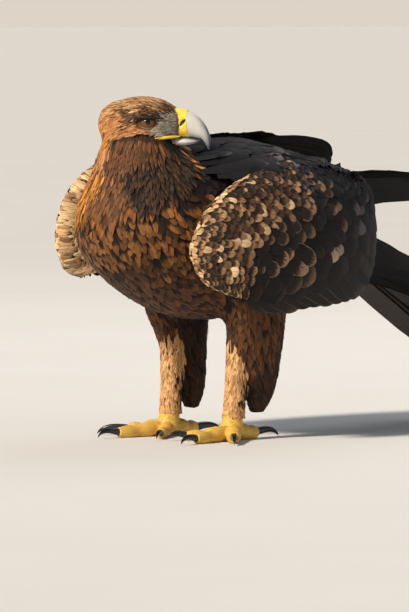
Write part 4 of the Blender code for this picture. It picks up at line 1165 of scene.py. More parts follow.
def dress_body(skin, seed, crowding):
    """All small feathers of torso, neck, head, thighs and shanks, in one object a region."""
    rng = np.random.default_rng(seed)
    spots = settle(skin_samples(skin, rng, SAMPLES_A_FEATHER), 0, 2)
    regions = region_of(spots)
    made = []
    for number, region in enumerate(REGIONS):
        chosen = spots[regions == number]
        lie, numbers, weight, table = plumage_at(chosen, region)
        keep = thin_out(chosen, numbers[:, 2] * crowding)
        chosen, lie, numbers, weight = chosen[keep], lie[keep], numbers[keep], weight[keep]
        length = numbers[:, 0] * np.exp(rng.normal(0, SIZE_SPREAD, len(keep)))
        half = numbers[:, 1] * np.exp(rng.normal(0, SIZE_SPREAD, len(keep)))
        depth = numbers[:, 3]
        shares = BODY_SHARES if region in ("torso", "neck", "thigh") else SMALL_SHARES
        lift = rng.uniform(*LIFTS[region], len(keep))
        spine, up = body_spines(chosen, lie, length, depth, shares, rng, lift)
        free = np.ones(len(keep), bool)
        if region == "head":
            free = clear_of_face(spine[:, 0], spine[:, -1])
        free &= spine[:, :, 2].min(1) > FLOOR_CLEAR
        tones = draw_tones(rng, weight, table)
        tones = [tone for tone, good in zip(tones, free) if good]
        spine, up, half, length = spine[free], up[free], half[free], length[free]
        roll = rng.normal(0, ROLL_SPREAD, len(spine))
        across, up = cross_directions(spine, up, roll)
        sharp = [TONES[tone][3] for tone in tones]
        pointed = np.clip(sharp + rng.normal(0, POINT_SPREAD, len(tones)), 0, 1)
        widths = half[:, None] * vane_width(shares, pointed)
        marks = feather_marks(rng, tones, half, length)
        bend = half * 1.5 + 1
        places = bake_place(spine[:, 0], region)
        for part, members in split_by_place(region, spine[:, 0]):
            if not members.any():
                continue
            own = {key: value[members] for key, value in marks.items()}
            form = [part_of[members] for part_of in (spine, across, up, widths, bend, places)]
            thick = HEAD_FEATHER_THICK if region == "head" else BODY_FEATHER_THICK
            made.append(vane_object(part, *form, thick, own, shares))
    return made


def split_by_place(region, roots):
    """Names and members of the pieces that one region's feathers are kept in."""
    x, y, z = roots.T
    if region == "torso":
        front = y < BREAST_END
        top = z > BACK_LEVEL
        return (
            ("breast_feathers", front & ~top),
            ("back_feathers", top),
            ("belly_feathers", ~front & ~top),
        )
    if region in ("neck", "head"):
        return ((region + "_feathers", np.ones(len(x), bool)),)
    return ((region + "_feathers_left", x > 0), (region + "_feathers_right", x <= 0))


def even_places(surface, s, spacing):
    """Shares across a patch at even distances along its line of constant s."""
    fine = np.linspace(0, 1, 160)
    line = surface(np.full(160, s), fine)
    run = np.concatenate([[0], np.cumsum(np.linalg.norm(np.diff(line, axis=0), axis=1))])
    count = max(int(run[-1] / spacing), 3)
    return np.interp((np.arange(count) + 0.5) / count * run[-1], run, fine)


def row_spines(surface, side, s, t, reach, drift, low, high, shares=VANE_SHARES):
    """Spines that run along a patch from (s, t), rising from one lift to the other."""
    q = shares[None]
    s_all = s[:, None] + reach[:, None] * q
    t_all = np.clip(t[:, None] + drift[:, None] * q, 0.008, 0.985)
    rise = np.minimum(q / RISE_END, 1)
    return on_patch(surface, s_all, t_all, low[:, None] + (high - low)[:, None] * rise, side)


def covert_tones(family, t, side, rng):
    """Tone names along one row of coverts, from the wrist up to the shoulder and back."""
    names = []
    pale = PALE_SHARES[side]
    for place, draw in zip(t, rng.uniform(0, 1, len(t))):
        back = place + 0.12 * (draw - 0.5)
        name = family
        # Past the shoulder line the coverts take the near-black shoulder tones, partly painted shade
        if back > SHOULDER_LINE:
            name = "scapular" if draw > 0.86 else "shoulder"
        elif family == "margin" and draw < pale + 0.2:
            name = "margin_pale"
        elif family == "lesser":
            if back < 0.55 and draw < pale * 0.4:
                name = "margin_pale"
            elif draw > 0.62 - 0.3 * (back > 0.5):
                name = "lesser_dark"
        elif family == "median":
            name = "median" if draw < 0.5 else "greater_dark"
        elif family == "greater":
            name = "worn" if draw < 0.14 else "greater" if draw < 0.4 else "greater_dark"
        names.append(name)
    return names


def row_feathers(surface, side_name, row, rng, index):
    """One row of feathers as a dictionary of arrays."""
    start, reach, half, spacing, low, high, family = row
    side = WINGS[side_name]["side"]
    t = even_places(surface, abs(start), spacing)
    t = np.clip(t + (0.5 if index % 2 else 0) * (t[1] - t[0]), 0.004, 0.996)
    t = t + rng.normal(0, 0.0022, len(t))
    t = t[t < 0.965]
    count = len(t)
    s = start + rng.normal(0, 0.004, count)
    length = reach * np.exp(rng.normal(0, 0.06, count))
    low = low + 0 * t
    high = high + rng.normal(0, 0.35, count)
    spine, up = row_spines(surface, side, s, t, length, rng.normal(0, 0.004, count), low, high)
    places = np.stack([0.5 + 0.48 * np.clip(s, -0.5, 1), t], 1)
    made = feather_row(rng, spine, up, half, 0.07, 0.07, None, places)
    made["tones"] = covert_tones(family, t, side_name, rng)
    return made


def feather_row(rng, spine, up, half, spread, roll, tones, places):
    """A row of feathers as arrays; half widths vary by the spread, and turns by the roll."""
    return {
        "spine": spine,
        "up": up,
        "half": half * np.exp(rng.normal(0, spread, len(spine))),
        "roll": rng.normal(0, roll, len(spine)),
        "tones": tones,
        "places": places,
    }


def merge_rows(rows):
    """Several rows joined into one dictionary of arrays."""
    merged = {}
    for key in rows[0]:
        if key == "tones":
            merged[key] = [tone for row in rows for tone in row[key]]
        else:
            merged[key] = np.concatenate([row[key] for row in rows])
    return merged


def build_feathers(name, rows, rng, thick, bend, shares=VANE_SHARES, columns=5):
    """One object from rows of feathers."""
    data = merge_rows(rows) if isinstance(rows, list) else rows
    length = np.linalg.norm(np.diff(data["spine"], axis=1), axis=-1).sum(1)
    across, up = cross_directions(data["spine"], data["up"], data["roll"])
    sharp = [TONES[tone][3] for tone in data["tones"]]
    pointed = np.clip(sharp + rng.normal(0, 0.06, len(length)), 0, 1)
    marks = feather_marks(rng, data["tones"], data["half"], length)
    widths = data["half"][:, None] * vane_width(shares, pointed)
    form = (data["spine"], across, up, widths, np.full(len(length), float(bend)), data["places"])
    return vane_object(name, *form, thick, marks, shares, columns)


def dress_wing(side_name, seed):
    """Coverts of one wing on its outer face, round the leading edge and on its lining."""
    rng = np.random.default_rng(seed)
    surface = arm_surface(WINGS[side_name])
    small, large, lining = [], [], []
    for index, row in enumerate(COVERT_ROWS):
        made = row_feathers(surface, side_name, row, rng, index)
        (small if row[1] < 0.14 else large).append(made)
    for index, row in enumerate(LINING_ROWS):
        lining.append(row_feathers(surface, side_name, row, rng, index))
    return [
        build_feathers("small_coverts_" + side_name, small, rng, thick=0.45, bend=16),
        build_feathers("large_coverts_" + side_name, large, rng, thick=0.5, bend=60),
        build_feathers("wing_lining_" + side_name, lining, rng, thick=0.5, bend=60),
    ]


def make_wing_flesh(side_name):
    """The arm under the coverts: one closed patch from its inner face round the leading edge."""
    wing = WINGS[side_name]
    surface = arm_surface(wing)
    half = np.linspace(0.1, FLESH_REACH, 8)
    s = np.concatenate([-half[::-1], np.linspace(-0.08, 0.08, 13), half])
    t = np.linspace(0.0, 1.0, 30)
    grid_t, grid_s = np.meshgrid(t, s, indexing="ij")
    points, _ = on_patch(surface, grid_s, grid_t, 0 * grid_s - FLESH_BELOW, wing["side"])
    return grid_object("wing_flesh_" + side_name, points)


def make_secondaries(side_name, seed, half):
    """Flight feathers of the forearm, the innermost lying on top."""
    rng = np.random.default_rng(seed)
    wing = WINGS[side_name]
    surface = arm_surface(wing)
    count = SECONDARY["count"]
    t = np.linspace(*SECONDARY_SPAN, count)
    order = np.linspace(1, 0, count)
    lift = -(SECONDARY["first"] + order * (SECONDARY["deepest"] - SECONDARY["first"]))
    reach = (SECONDARY["tip"] - SECONDARY["root"]) * (1 - rng.uniform(0, 0.03, count))
    spine, up = row_spines(
        surface, wing["side"], np.full(count, SECONDARY["root"]), t, reach, 0 * t, lift, lift, LONG_SHARES
    )
    tones = ["tertial" if place > 0.6 else "secondary" for place in t]
    places = np.stack([np.full(count, 0.8), t], 1)
    data = feather_row(rng, spine, up, half, 0.03, 0.01, tones, places)
    return build_feathers("secondaries_vanes_" + side_name, data, rng, 0.7, WING_BEND, LONG_SHARES, 7)


def primary_course(side_name, places):
    """The primaries' course as centre, direction across the vanes and outward normal."""
    wing = WINGS[side_name]
    start_s, start_t, start_depth = PRIMARY_ROOT
    root_y, root_z = flow(np.array([start_s]), np.array([start_t]), wing)
    root = shell(root_y, root_z, np.array([start_depth]), wing)[0]
    course = ((root[0] * wing["side"], root[1], root[2], 0),) + PRIMARY_COURSE[side_name]
    table = [(k / (len(course) - 1),) + tuple(row) for k, row in enumerate(course)]
    fine = np.linspace(0, 1, 201)
    values = smooth(table, fine)
    centre, lean = values[:, :3], np.radians(values[:, 3])
    along = unit(np.gradient(centre, axis=0))
    outward = np.stack([np.cos(lean), 0 * lean, np.sin(lean)], 1)
    outward = unit(outward - dot(outward, along) * along)
    across = np.cross(outward, along)
    return tuple(
        np.stack([np.interp(places, fine, column) for column in part.T], -1)
        for part in (centre, across, outward)
    )


def make_primaries(side_name, seed, half):
    """The long hand feathers, stacked under the secondaries and running back past them."""
    rng = np.random.default_rng(seed)
    wing = WINGS[side_name]
    count = PRIMARY["count"]
    ranks = np.linspace(0, 1, count)
    reach = np.interp(ranks, np.linspace(0, 1, len(PRIMARY_LENGTHS)), PRIMARY_LENGTHS)
    places = reach[:, None] * LONG_SHARES[None]
    centre, across, outward = primary_course(side_name, places)
    rank = np.arange(count) - (count - 1) / 2
    spread = PRIMARY["shift"] * (1 + LONG_SHARES[None]) * rank[:, None]
    spine = centre - across * spread[..., None] - outward * (rank * PRIMARY["step"])[:, None, None]
    mirror = np.array([wing["side"], 1, 1])
    up = unit(outward) * mirror
    tones = ["primary"] * count
    places = np.stack([0.5 + 0.02 * ranks, np.linspace(0.1, 0.9, count)], 1)
    data = feather_row(rng, spine * mirror, up, half, 0.02, 0.008, tones, places)
    return build_feathers("primaries_vanes_" + side_name, data, rng, 0.6, 240, LONG_SHARES, 7)


def saddle_surface(side_name):
    """Surface from the back over the wing's upper edge.

    Share a runs backwards, share b outwards: up to one it bridges from the back to the wing's
    leading line by a blend that bulges upwards, and past one it follows the wing's own shell.
    """
    wing = WINGS[side_name]
    arm = arm_surface(wing)
    front, rear, out = SADDLE_BACK

    def surface(a, b):
        a, b = np.broadcast_arrays(np.asarray(a, float), np.asarray(b, float))
        y = front + (rear - front) * a
        top, low, half = smooth(TORSO, y.ravel()).T.reshape(3, *y.shape)
        inside = np.clip(out * (0.35 + 0.65 * np.clip(b, -0.5, 1)), 4, None)
        drop = np.clip(1 - (inside / half) ** 2.2, 0.02, 1) ** (1 / 2.2)
        height = (top + low) / 2 + (top - low) / 2 * drop
        back = np.stack([inside * wing["side"], y, height - SADDLE_SINK], -1)
        edge = arm(0.05 + 0.55 * np.maximum(b - 1, 0), 0.52 + 0.46 * a)
        share = np.clip(b, 0, 1)
        ease = (share**2 * (3 - 2 * share))[..., None]
        bulge = SADDLE_BULGE * np.sin(math.pi * share)[..., None] * np.array([0, 0, 1.0])
        return back * (1 - ease) + edge * ease + bulge

    return surface


def dress_shoulder(side_name, seed):
    """Scapular feathers in rows from the back over the top of the wing."""
    rng = np.random.default_rng(seed)
    surface = saddle_surface(side_name)
    side = WINGS[side_name]["side"]
    rows = []
    count = SCAPULARS_A_ROW
    for index, b in enumerate(np.linspace(*SCAPULAR_ROWS)):
        a = (np.arange(count) + (0.5 if index % 2 else 0)) / count
        a = a + rng.normal(0, 0.01, count)
        q = VANE_SHARES[None]
        outwards = np.interp(b, (0, 1.25), (0.28, 0.5))
        a_all = a[:, None] - 0.05 + 0.26 * q
        b_all = b + rng.normal(0, 0.02, (count, 1)) + outwards * q
        lift = SCAPULAR_LIFT[0] + SCAPULAR_LIFT[1] * np.minimum(q / RISE_END, 1)
        lift = lift + rng.normal(0, 0.3, (count, 1))
        spine, up = on_patch(surface, a_all, b_all, lift + 0 * a_all, -side)
        draw = rng.uniform(0, 1, count)
        # Near-black shoulder and scapular tones, partly painted shade
        tones = np.where(draw < 0.72, "shoulder", "scapular")
        places = np.stack([np.clip(a, 0.02, 0.98), 0.1 + 0.5 * (b + 0.1) + 0 * a], 1)
        row = feather_row(rng, spine, up, SCAPULAR_HALF, 0.08, 0.06, tones, places)
        rows.append({key: value[a > SHOULDER_START * np.clip(b, 0, 1)] for key, value in row.items()})
    return build_feathers("scapulars_" + side_name, rows, rng, thick=0.5, bend=45)


def tail_axes():
    """The tail's directions along, to the left and up."""
    slope = math.radians(TAIL_SLOPE)
    along = np.array([0, math.cos(slope), -math.sin(slope)])
    return along, np.array([1.0, 0, 0]), np.array([0, math.sin(slope), math.cos(slope)])


def make_tail(seed, half):
    """Twelve tail feathers fanned from the rump, the middle pair on top."""
    rng = np.random.default_rng(seed)
    along, left, up = tail_axes()
    pair = np.repeat(np.arange(TAIL["pairs"]), 2)
    side = np.tile([1.0, -1.0], TAIL["pairs"])
    rank = pair + np.where(side > 0, 0.5, 0)
    bearing = np.radians(side * (0.6 + TAIL["fan"] * pair))[:, None]
    way = along * np.cos(bearing) + left * np.sin(bearing)
    length = TAIL_LENGTH - TAIL["start"] - TAIL["shorter"] * pair
    root = np.array(TAIL_ROOT) + left * (side * (2 + 2.4 * pair))[:, None] + along * TAIL["start"]
    root = root + up * (TAIL["rise"] - rank * TAIL["step"])[:, None]
    spine = root[:, None] + way[:, None] * (LONG_SHARES[None] * length[:, None])[..., None]
    count = len(pair)
    ups = np.broadcast_to(up, spine.shape)
    places = np.stack([0.5 + 0.4 * side * pair / TAIL["pairs"], np.full(count, 0.7)], 1)
    data = feather_row(rng, spine, ups, half, 0.02, 0.01, ["tail"] * count, places)
    return build_feathers("tail_vanes", data, rng, 0.7, 260, LONG_SHARES, 7)


def tail_sleeve(s, t):
    """Sleeve round the roots of the tail: share s along it, t round it from the top."""
    along, left, up = tail_axes()
    run, wide, top, under = (
        first + growth * s for first, growth in (SLEEVE_RUN, SLEEVE_SIDE, SLEEVE_TOP, SLEEVE_UNDER)
    )
    tall = np.where(np.cos(2 * math.pi * t) > 0, top, under)
    x = wide * np.sin(2 * math.pi * t)
    z = tall * np.cos(2 * math.pi * t)
    place = np.array(TAIL_ROOT) + run[..., None] * along
    return place + x[..., None] * left + (z - 1)[..., None] * up


def dress_tail(seed):
    """Coverts over and under the roots of the tail."""
    rng = np.random.default_rng(seed)
    rows = []
    count = TAIL_COVERTS_A_ROW
    for index, s in enumerate(TAIL_COVERT_ROWS):
        t = (np.arange(count) + (0.5 if index % 2 else 0)) / count
        q = VANE_SHARES[None]
        s_all = s + (0.42 + 0.02 * index) * q + rng.normal(0, 0.01, (count, 1))
        t_all = t[:, None] + 0 * s_all
        lift = TAIL_COVERT_LIFT[0] + TAIL_COVERT_LIFT[1] * q + 0 * s_all
        spine, up = on_patch(tail_sleeve, s_all, t_all, lift, -1)
        places = np.stack([t, 0.1 + 0.5 * s + 0 * t], 1)
        tones = ["tail_covert"] * count
        rows.append(feather_row(rng, spine, up, TAIL_COVERT_HALF, 0.08, 0.05, tones, places))
    return build_feathers("tail_coverts", rows, rng, thick=0.5, bend=26)


def numbered(stations):
    """Stations with their numbers as a first column."""
    return np.column_stack([np.arange(len(stations)), np.asarray(stations, float)])


def cut_stations(stations, share):
    """The stations up to a fractional number and those from it on, that place in both."""
    at = int(share)
    table = np.asarray(stations, float)
    place = table[at] + (share - at) * (table[at + 1] - table[at])
    return np.vstack([table[: at + 1], place]), np.vstack([place, table[at + 1 :]])


def bill_rings(stations, count, places, swell=1.0):
    """Rings of a bill half between its culmen and its edge.

    The stations are read as a smooth curve by their number. Across, each ring is a superellipse
    between the culmen point and the edge point, as wide as the station says.
    """
    table = numbered(stations)
    keys = np.linspace(0, len(table) - 1, count)
    top_f, top_u, low_f, low_u, half = smooth(table, keys).T[..., None]
    turn = full_turn(places)[None]
    side = half * swell * np.sign(np.cos(turn)) * np.abs(np.cos(turn)) ** BILL_FULLNESS
    rise = np.sin(turn) * swell
    ahead = (top_f + low_f) / 2 + rise * (top_f - low_f) / 2
    up = (top_u + low_u) / 2 + rise * (top_u - low_u) / 2
    return np.stack([ahead, side, up], -1)


def ring_object(name, rings, ends=True, **further):
    """A grid object with a map of share round the ring and share along the rings."""
    count, places = rings.shape[:2]
    around, along = np.meshgrid(np.arange(places) / places, np.linspace(0, 1, count))
    maps = {"Along": np.stack([around, along], -1).reshape(-1, 2), **further}
    return grid_object(name, rings, ends=ends, maps=maps)


def make_bill():
    """Horn hook, cere with its nostrils, lower bill and the fleshy mouth lines."""
    hook = bill_rings(cut_stations(BILL, CERE_END)[1], 56, 36)
    pieces = [ring_object("bill_horn", on_head(hook))]
    cere = bill_rings(cut_stations(BILL, CERE_END + 0.12)[0], 44, 64, 1.035)
    round_front = np.linspace(0, 1, 44)[:, None, None]
    middle = cere.mean(1, keepdims=True)
    cere = middle + (cere - middle) * (1 - 0.16 * np.clip((round_front - 0.9) / 0.1, 0, 1) ** 2)
    slant = math.radians(NOSTRIL_SLANT)
    ahead, up = cere[..., 0] - NOSTRIL[0], cere[..., 2] - NOSTRIL[2]
    along = (ahead * math.cos(slant) + up * math.sin(slant)) / NOSTRIL_RADII[0]
    over = (up * math.cos(slant) - ahead * math.sin(slant)) / NOSTRIL_RADII[1]
    pit = np.exp(-((along**2 + over**2) ** 1.5))
    pit = np.where(np.abs(cere[..., 1]) > NOSTRIL_SIDE, pit, 0)
    cere[..., 1] -= np.sign(cere[..., 1]) * NOSTRIL_DEPTH * pit
    # The Pit map carries the nostril's painted shade to the cere's finish
    pieces.append(ring_object("bill_cere", on_head(cere), Pit=np.stack([pit, pit], -1).reshape(-1, 2)))
    pieces.append(ring_object("bill_under", on_head(bill_rings(LOWER_BILL, 30, 28))))
    return pieces + [mouth_flange(name, side) for name, side in SIDES]


def rod_rings(path, radii, places, flat=1.0, turn_up=(0, 0, 1.0)):
    """Rings round a bent path, as wide as its radii and flattened upwards by a share."""
    path = np.asarray(path, float)
    along = unit(np.gradient(path, axis=0))
    side = unit(np.cross(along, np.array(turn_up)))
    up = np.cross(side, along)
    turn = full_turn(places)
    radii = np.asarray(radii, float)[:, None, None]
    return path[:, None] + radii * (
        np.cos(turn)[None, :, None] * side[:, None] + flat * np.sin(turn)[None, :, None] * up[:, None]
    )


def mouth_flange(name, side):
    """The yellow fold that runs back from the bill's edge along the mouth."""
    keys = np.linspace(0, len(LIP) - 1, 40)
    path = smooth(numbered(LIP), keys) * (1, side, 1)
    swell = np.interp(keys, range(len(LIP)), LIP_RADII)
    swell = swell * np.clip(keys / 0.25, 0.15, 1) ** 0.5
    rings = rod_rings(path, swell, 16, 0.95)
    return ring_object("mouth_line_" + name, on_head(rings))


def eye_axes(side):
    """An eye's line of sight, the level direction across it and the one across both."""
    sight = unit(np.array(EYE_AIM) * (1, side, 1))
    level = unit(np.cross(sight, (0, 0, 1.0)))
    return sight, level, np.cross(level, sight)


def make_eye(name, side):
    """The eyeball as rings about its line of sight, with a map of the iris's own plane."""
    axis, first, second = eye_axes(side)
    lat = np.linspace(0.01, math.pi - 0.01, 48)[:, None, None]
    turn = full_turn(64)[None, :, None]
    bulge = 1 + 0.035 * np.exp(-((lat / 0.75) ** 4))
    ball = axis * np.cos(lat) * bulge + np.sin(lat) * (first * np.cos(turn) + second * np.sin(turn))
    centre = np.array(EYE_PLACE) * (1, side, 1)
    flat = np.sin(lat) * np.where(lat < math.pi / 2, 1, 3)
    iris = np.concatenate([flat * np.cos(turn), flat * np.sin(turn)], -1) / 2 + 0.5
    points = on_head(centre + EYE_RADIUS * ball)
    return grid_object(name, points, maps={"Iris": iris.reshape(-1, 2)})


def make_lid(name, side):
    """The rim of bare skin round one eye, on a sphere just over the ball.

    Seen along the eye's line of sight the opening is an almond: flat above, rounder below, and
    drawn out to a corner in front. The upper lid is thicker and stands further out.
    """
    axis, level, above = eye_axes(side)
    ahead = level * side
    turn = full_turn(96)
    cross = full_turn(16)[None, :, None]
    upper = np.clip(np.sin(turn), 0, 1)
    corner = np.clip(np.cos(turn), 0, 1) ** 8
    x = (EYE_OPENING[0] - 1.0) * np.cos(turn) * (1 + 0.10 * corner)
    tall = np.where(np.sin(turn) > 0, EYE_OPENING[1] - 0.9, EYE_OPENING[2] - 0.9)
    y = tall * np.sign(np.sin(turn)) * np.abs(np.sin(turn)) ** 0.9 - 0.9 * corner
    y = y - 0.06 * x * (np.sin(turn) > 0)
    sphere = EYE_RADIUS + 0.45 + 0.7 * upper**0.7
    out = np.sqrt(np.maximum(sphere**2 - x**2 - y**2, 10.0))
    middle = x[:, None] * ahead + y[:, None] * above + out[:, None] * axis
    away = unit(x[:, None] * ahead + y[:, None] * above + 0.35 * out[:, None] * axis)
    lift = unit(middle)
    wide = LID_RADIUS * (0.95 + 0.45 * upper)[:, None, None]
    thick = LID_RADIUS * (0.55 + 0.35 * upper)[:, None, None]
    rings = middle[:, None] + wide * np.cos(cross) * away[:, None] + thick * np.sin(cross) * lift[:, None]
    points = on_head(rings + np.array(EYE_PLACE) * (1, side, 1))
    closed = np.concatenate([points, points[:1]])
    return ring_object(name, closed, ends=False)


def make_brow(name, side):
    """The bony ledge that overhangs the eye and gives the eagle its stern look."""
    keys = np.linspace(0, len(LEDGE) - 1, 48)
    path = smooth(numbered(LEDGE), keys) * (1, side, 1)
    radii = np.interp(keys, range(len(LEDGE)), LEDGE_RADII)
    return ring_object(name, on_head(rod_rings(path, radii, 20, 0.62)))


def foot_axes(side):
    """A foot's forward, left and up directions, as rows."""
    turn = math.radians(side * FOOT_TURN)
    return np.array(
        [[math.sin(turn), -math.cos(turn), 0], [math.cos(turn), math.sin(turn), 0], [0, 0, 1.0]]
    )


def on_foot(points, side):
    """Foot coordinates, forward, left and up, turned into the bird's frame."""
    return np.array([side * FOOT_SIDE, FOOT_CENTRE_Y, 0]) + np.asarray(points, float) @ foot_axes(side)


def toe_line(toe, side, shares):
    """Middle line and radii of a toe, as the solids have them."""
    _, bearing, length, root, end, _ = toe
    angle = math.radians(bearing * side)
    keys = (0, 0.22, 0.45, 0.62, 0.84, 1.0)
    swell = np.array([1.0, 0.97, 1.08, 0.9, 1.05, 0.8])
    stout = (root + (end - root) * np.array(keys)) * swell
    arch = np.array([2.5, 3.0, 1.2, 1.0, 0.4, 0])
    height = stout - TOE_SINK + arch
    height[-1] = height[-2]
    table = np.column_stack([keys, stout, height])
    radius, level = smooth(table, shares).T
    path = np.stack([math.cos(angle) * length * shares, math.sin(angle) * length * shares, level], 1)
    return path, radius


def make_foot(name, side):
    """Four toes with raised scutes above and pads below, and the ankle that joins them."""
    parts = []
    for toe in TOES:
        shares = np.linspace(0, 1, 84)
        path, radius = toe_line(toe, side, shares)
        rings = rod_rings(path, radius, 28)
        turn = full_turn(28)[None, :, None]
        over = np.clip(np.sin(turn), 0, 1) ** 0.5
        under = np.clip(-np.sin(turn), 0, 1)
        plates = toe[2] / SCUTE_LENGTH
        wave = np.abs(np.sin(math.pi * plates * shares)) ** 0.45
        pads = np.sin(math.pi * 3.2 * shares) ** 2
        far = 1 + 0.075 * (wave[:, None, None] - 0.7) * over + 0.05 * pads[:, None, None] * under
        rings = path[:, None] + (rings - path[:, None]) * far
        parts.append(rings)
    values = smooth(numbered(ANKLE), np.linspace(0, len(ANKLE) - 1, 30))
    parts.append(rod_rings(values[:, :3], values[:, 3], 28, turn_up=(1.0, 0, 0)))
    parts = [np.maximum(on_foot(rings, side), (-np.inf, -np.inf, 0)) for rings in parts]
    return fuse_rings(name, parts, FOOT_VOXEL * MM)


def make_claw(name, toe, side):
    """A hooked claw: rises a little from the toe, then curves down to a point over the floor."""
    path, radii = toe_line(toe, side, np.linspace(0, 1, 84))
    start, height, radius, length = toe[2] - 2.0, path[-1, 2], radii[-1], toe[5]
    angle = math.radians(toe[1] * side)
    q = np.linspace(0, 1, 40)
    out = start + (length + 2.3) * 0.80 * np.sin(q * 1.35) / math.sin(1.35)
    rise = height + 3.0 * np.sin(math.pi * q) - (height - CLAW_CLEAR - 0.6) * q**2.2
    thick = np.maximum(radius * 0.74 * (1 - q) ** 0.72, 0.12)
    rise = np.maximum(rise, thick + CLAW_CLEAR - 0.2)
    line = np.stack([math.cos(angle) * out, math.sin(angle) * out, rise], 1)
    return ring_object(name, on_foot(rod_rings(line, thick, 20, 1.08), side))


def plug(tree, value, socket):
    """Joins an output to a socket, or sets the socket to a plain value."""
    if isinstance(value, bpy.types.NodeSocket):
        tree.links.new(value, socket)
    else:
        socket.default_value = value


def calc(tree, operation, *values):
    """Result of a Math node."""
    made = tree.nodes.new("ShaderNodeMath")
    made.operation = operation
    for number, value in enumerate(values):
        plug(tree, value, made.inputs[number])
    return made.outputs[0]


def plus(tree, first, second):
    """Sum of two values."""
    return calc(tree, "ADD", first, second)


def minus(tree, first, second):
    """Difference of two values."""
    return calc(tree, "SUBTRACT", first, second)


def times(tree, first, second):
    """Product of two values."""
    return calc(tree, "MULTIPLY", first, second)


def step_up(tree, value, low, high):
    """Smooth rise from 0 to 1 as a value passes from one limit to the other."""
    made = tree.nodes.new("ShaderNodeMapRange")
    made.interpolation_type = "SMOOTHSTEP"
    plug(tree, value, made.inputs["Value"])
    plug(tree, low, made.inputs["From Min"])
    plug(tree, high, made.inputs["From Max"])
    return made.outputs["Result"]


def mix_colours(tree, share, first, second, blend="MIX"):
    """Two colours mixed by a share."""
    made = tree.nodes.new("ShaderNodeMix")
    made.data_type = "RGBA"
    made.blend_type = blend
    plug(tree, share, made.inputs["Factor"])
    colours = [socket for socket in made.inputs if socket.type == "RGBA"]
    for value, socket in zip((first, second), colours):
        plug(tree, value, socket)
    return [socket for socket in made.outputs if socket.type == "RGBA"][0]


def noise(tree, vector, scale, detail=3.0, roughness=0.6):
    """Value of a noise texture."""
    made = tree.nodes.new("ShaderNodeTexNoise")
    plug(tree, vector, made.inputs["Vector"])
    set_values(made, Scale=scale, Detail=detail, Roughness=roughness)
    return made.outputs[0]


def combine(tree, x, y, z):
    """A vector from three values."""
    made = tree.nodes.new("ShaderNodeCombineXYZ")
    for value, socket in zip((x, y, z), made.inputs):
        plug(tree, value, socket)
    return made.outputs[0]


def split(tree, vector):
    """The three values of a vector."""
    made = tree.nodes.new("ShaderNodeSeparateXYZ")
    plug(tree, vector, made.inputs[0])
    return made.outputs


def new_group(name, inputs, outputs):
    """An empty shader node group with named sockets."""
    group = bpy.data.node_groups.new(name, "ShaderNodeTree")
    for key, kind, value in inputs:
        socket = group.interface.new_socket(key, in_out="INPUT", socket_type="NodeSocket" + kind)
        if value is not None:
            socket.default_value = value
    for key, kind in outputs:
        group.interface.new_socket(key, in_out="OUTPUT", socket_type="NodeSocket" + kind)
    return group, group.nodes.new("NodeGroupInput").outputs, group.nodes.new("NodeGroupOutput").inputs


def feather_group():
    """Markings of one feather from its colours, traits, size and place along and across it.

    Barbs are fine noise stretched along lines that slant from the shaft towards the tip. The rim
    colour comes in past its start along the feather and close to both edges.
    """
    found = bpy.data.node_groups.get("Feather markings")
    if found:
        return found
    group, source, sink = new_group(
        "Feather markings",
        (
            ("Ground", "Color", None),
            ("Rim", "Color", None),
            ("Traits", "Vector", None),
            ("Measure", "Vector", None),
            ("Vane", "Vector", None),
            ("Shaft", "Float", 1.0),
            ("Streaks", "Float", 1.0),
        ),
        (("Color", "Color"), ("Roughness", "Float"), ("Height", "Float")),
    )
    start, edge, draw = split(group, source["Traits"])
    wide, long, _ = split(group, source["Measure"])
    u, v, _ = split(group, source["Vane"])
    off = calc(group, "ABSOLUTE", minus(group, u, 0.5))
    across = times(group, times(group, off, wide), 100.0)
    along = times(group, times(group, v, long), 100.0)
    barb = minus(group, along, times(group, across, 1.5))
    seed = times(group, draw, 71.0)
    fine = noise(group, combine(group, times(group, barb, 1.7),
                                times(group, across, 0.22), seed), 1.0, 4.0, 0.7)
    broad = noise(group, combine(group, times(group, barb, 0.35),
                                 times(group, across, 0.10), seed), 1.0, 2.0)
    streak = plus(group, times(group, fine, 0.6), times(group, broad, 0.4))
    ragged = times(group, minus(group, streak, 0.5), 0.5)
    reach = plus(group, v, ragged)
    past = step_up(group, reach, minus(group, start, 0.07), plus(group, start, 0.10))
    share = plus(group, times(group, off, 2.0), times(group, ragged, 0.5))
    inner = minus(group, 1.0, times(group, edge, 1.6))
    sides = step_up(group, share, inner, plus(group, inner, 0.12))
    sides = times(group, sides, step_up(group, v, 0.35, 0.75))
    rim = calc(group, "MAXIMUM", past, times(group, sides, 0.75))
    colour = mix_colours(group, rim, source["Ground"], source["Rim"])
    contrast = times(group, minus(group, streak, 0.5), source["Streaks"])
    light = plus(group, 1.0, times(group, contrast, 1.7))
    grey = combine(group, light, light, light)
    colour = mix_colours(group, 1.0, colour, grey, "MULTIPLY")
    line = minus(group, 1.0, step_up(group, across, 0.25, 0.7))
    line = times(group, line, source["Shaft"])
    shade = mix_colours(group, 1.0, source["Ground"], (0.35, 0.3, 0.28, 1), "MULTIPLY")
    colour = mix_colours(group, times(group, line, 0.6), colour, shade)
    plug(group, colour, sink["Color"])
    rough = plus(group, 0.52, times(group, streak, 0.3))
    plug(group, rough, sink["Roughness"])
    height = plus(group, times(group, fine, 0.8), times(group, line, 0.5))
    plug(group, height, sink["Height"])
    return group


def new_material(name):
    """A material and its tree, with the shader's own node."""
    made = bpy.data.materials.new(name)
    made.use_nodes = True
    return made, made.node_tree, made.node_tree.nodes["Principled BSDF"]


def read_attribute(tree, name):
    """Colour and vector outputs of a named attribute."""
    made = tree.nodes.new("ShaderNodeAttribute")
    made.attribute_name = name
    return made.outputs


def set_values(node, **values):
    """Sets a node's own inputs, whose names have spaces for the underscores."""
    for key, value in values.items():
        node.inputs[key.replace("_", " ")].default_value = value


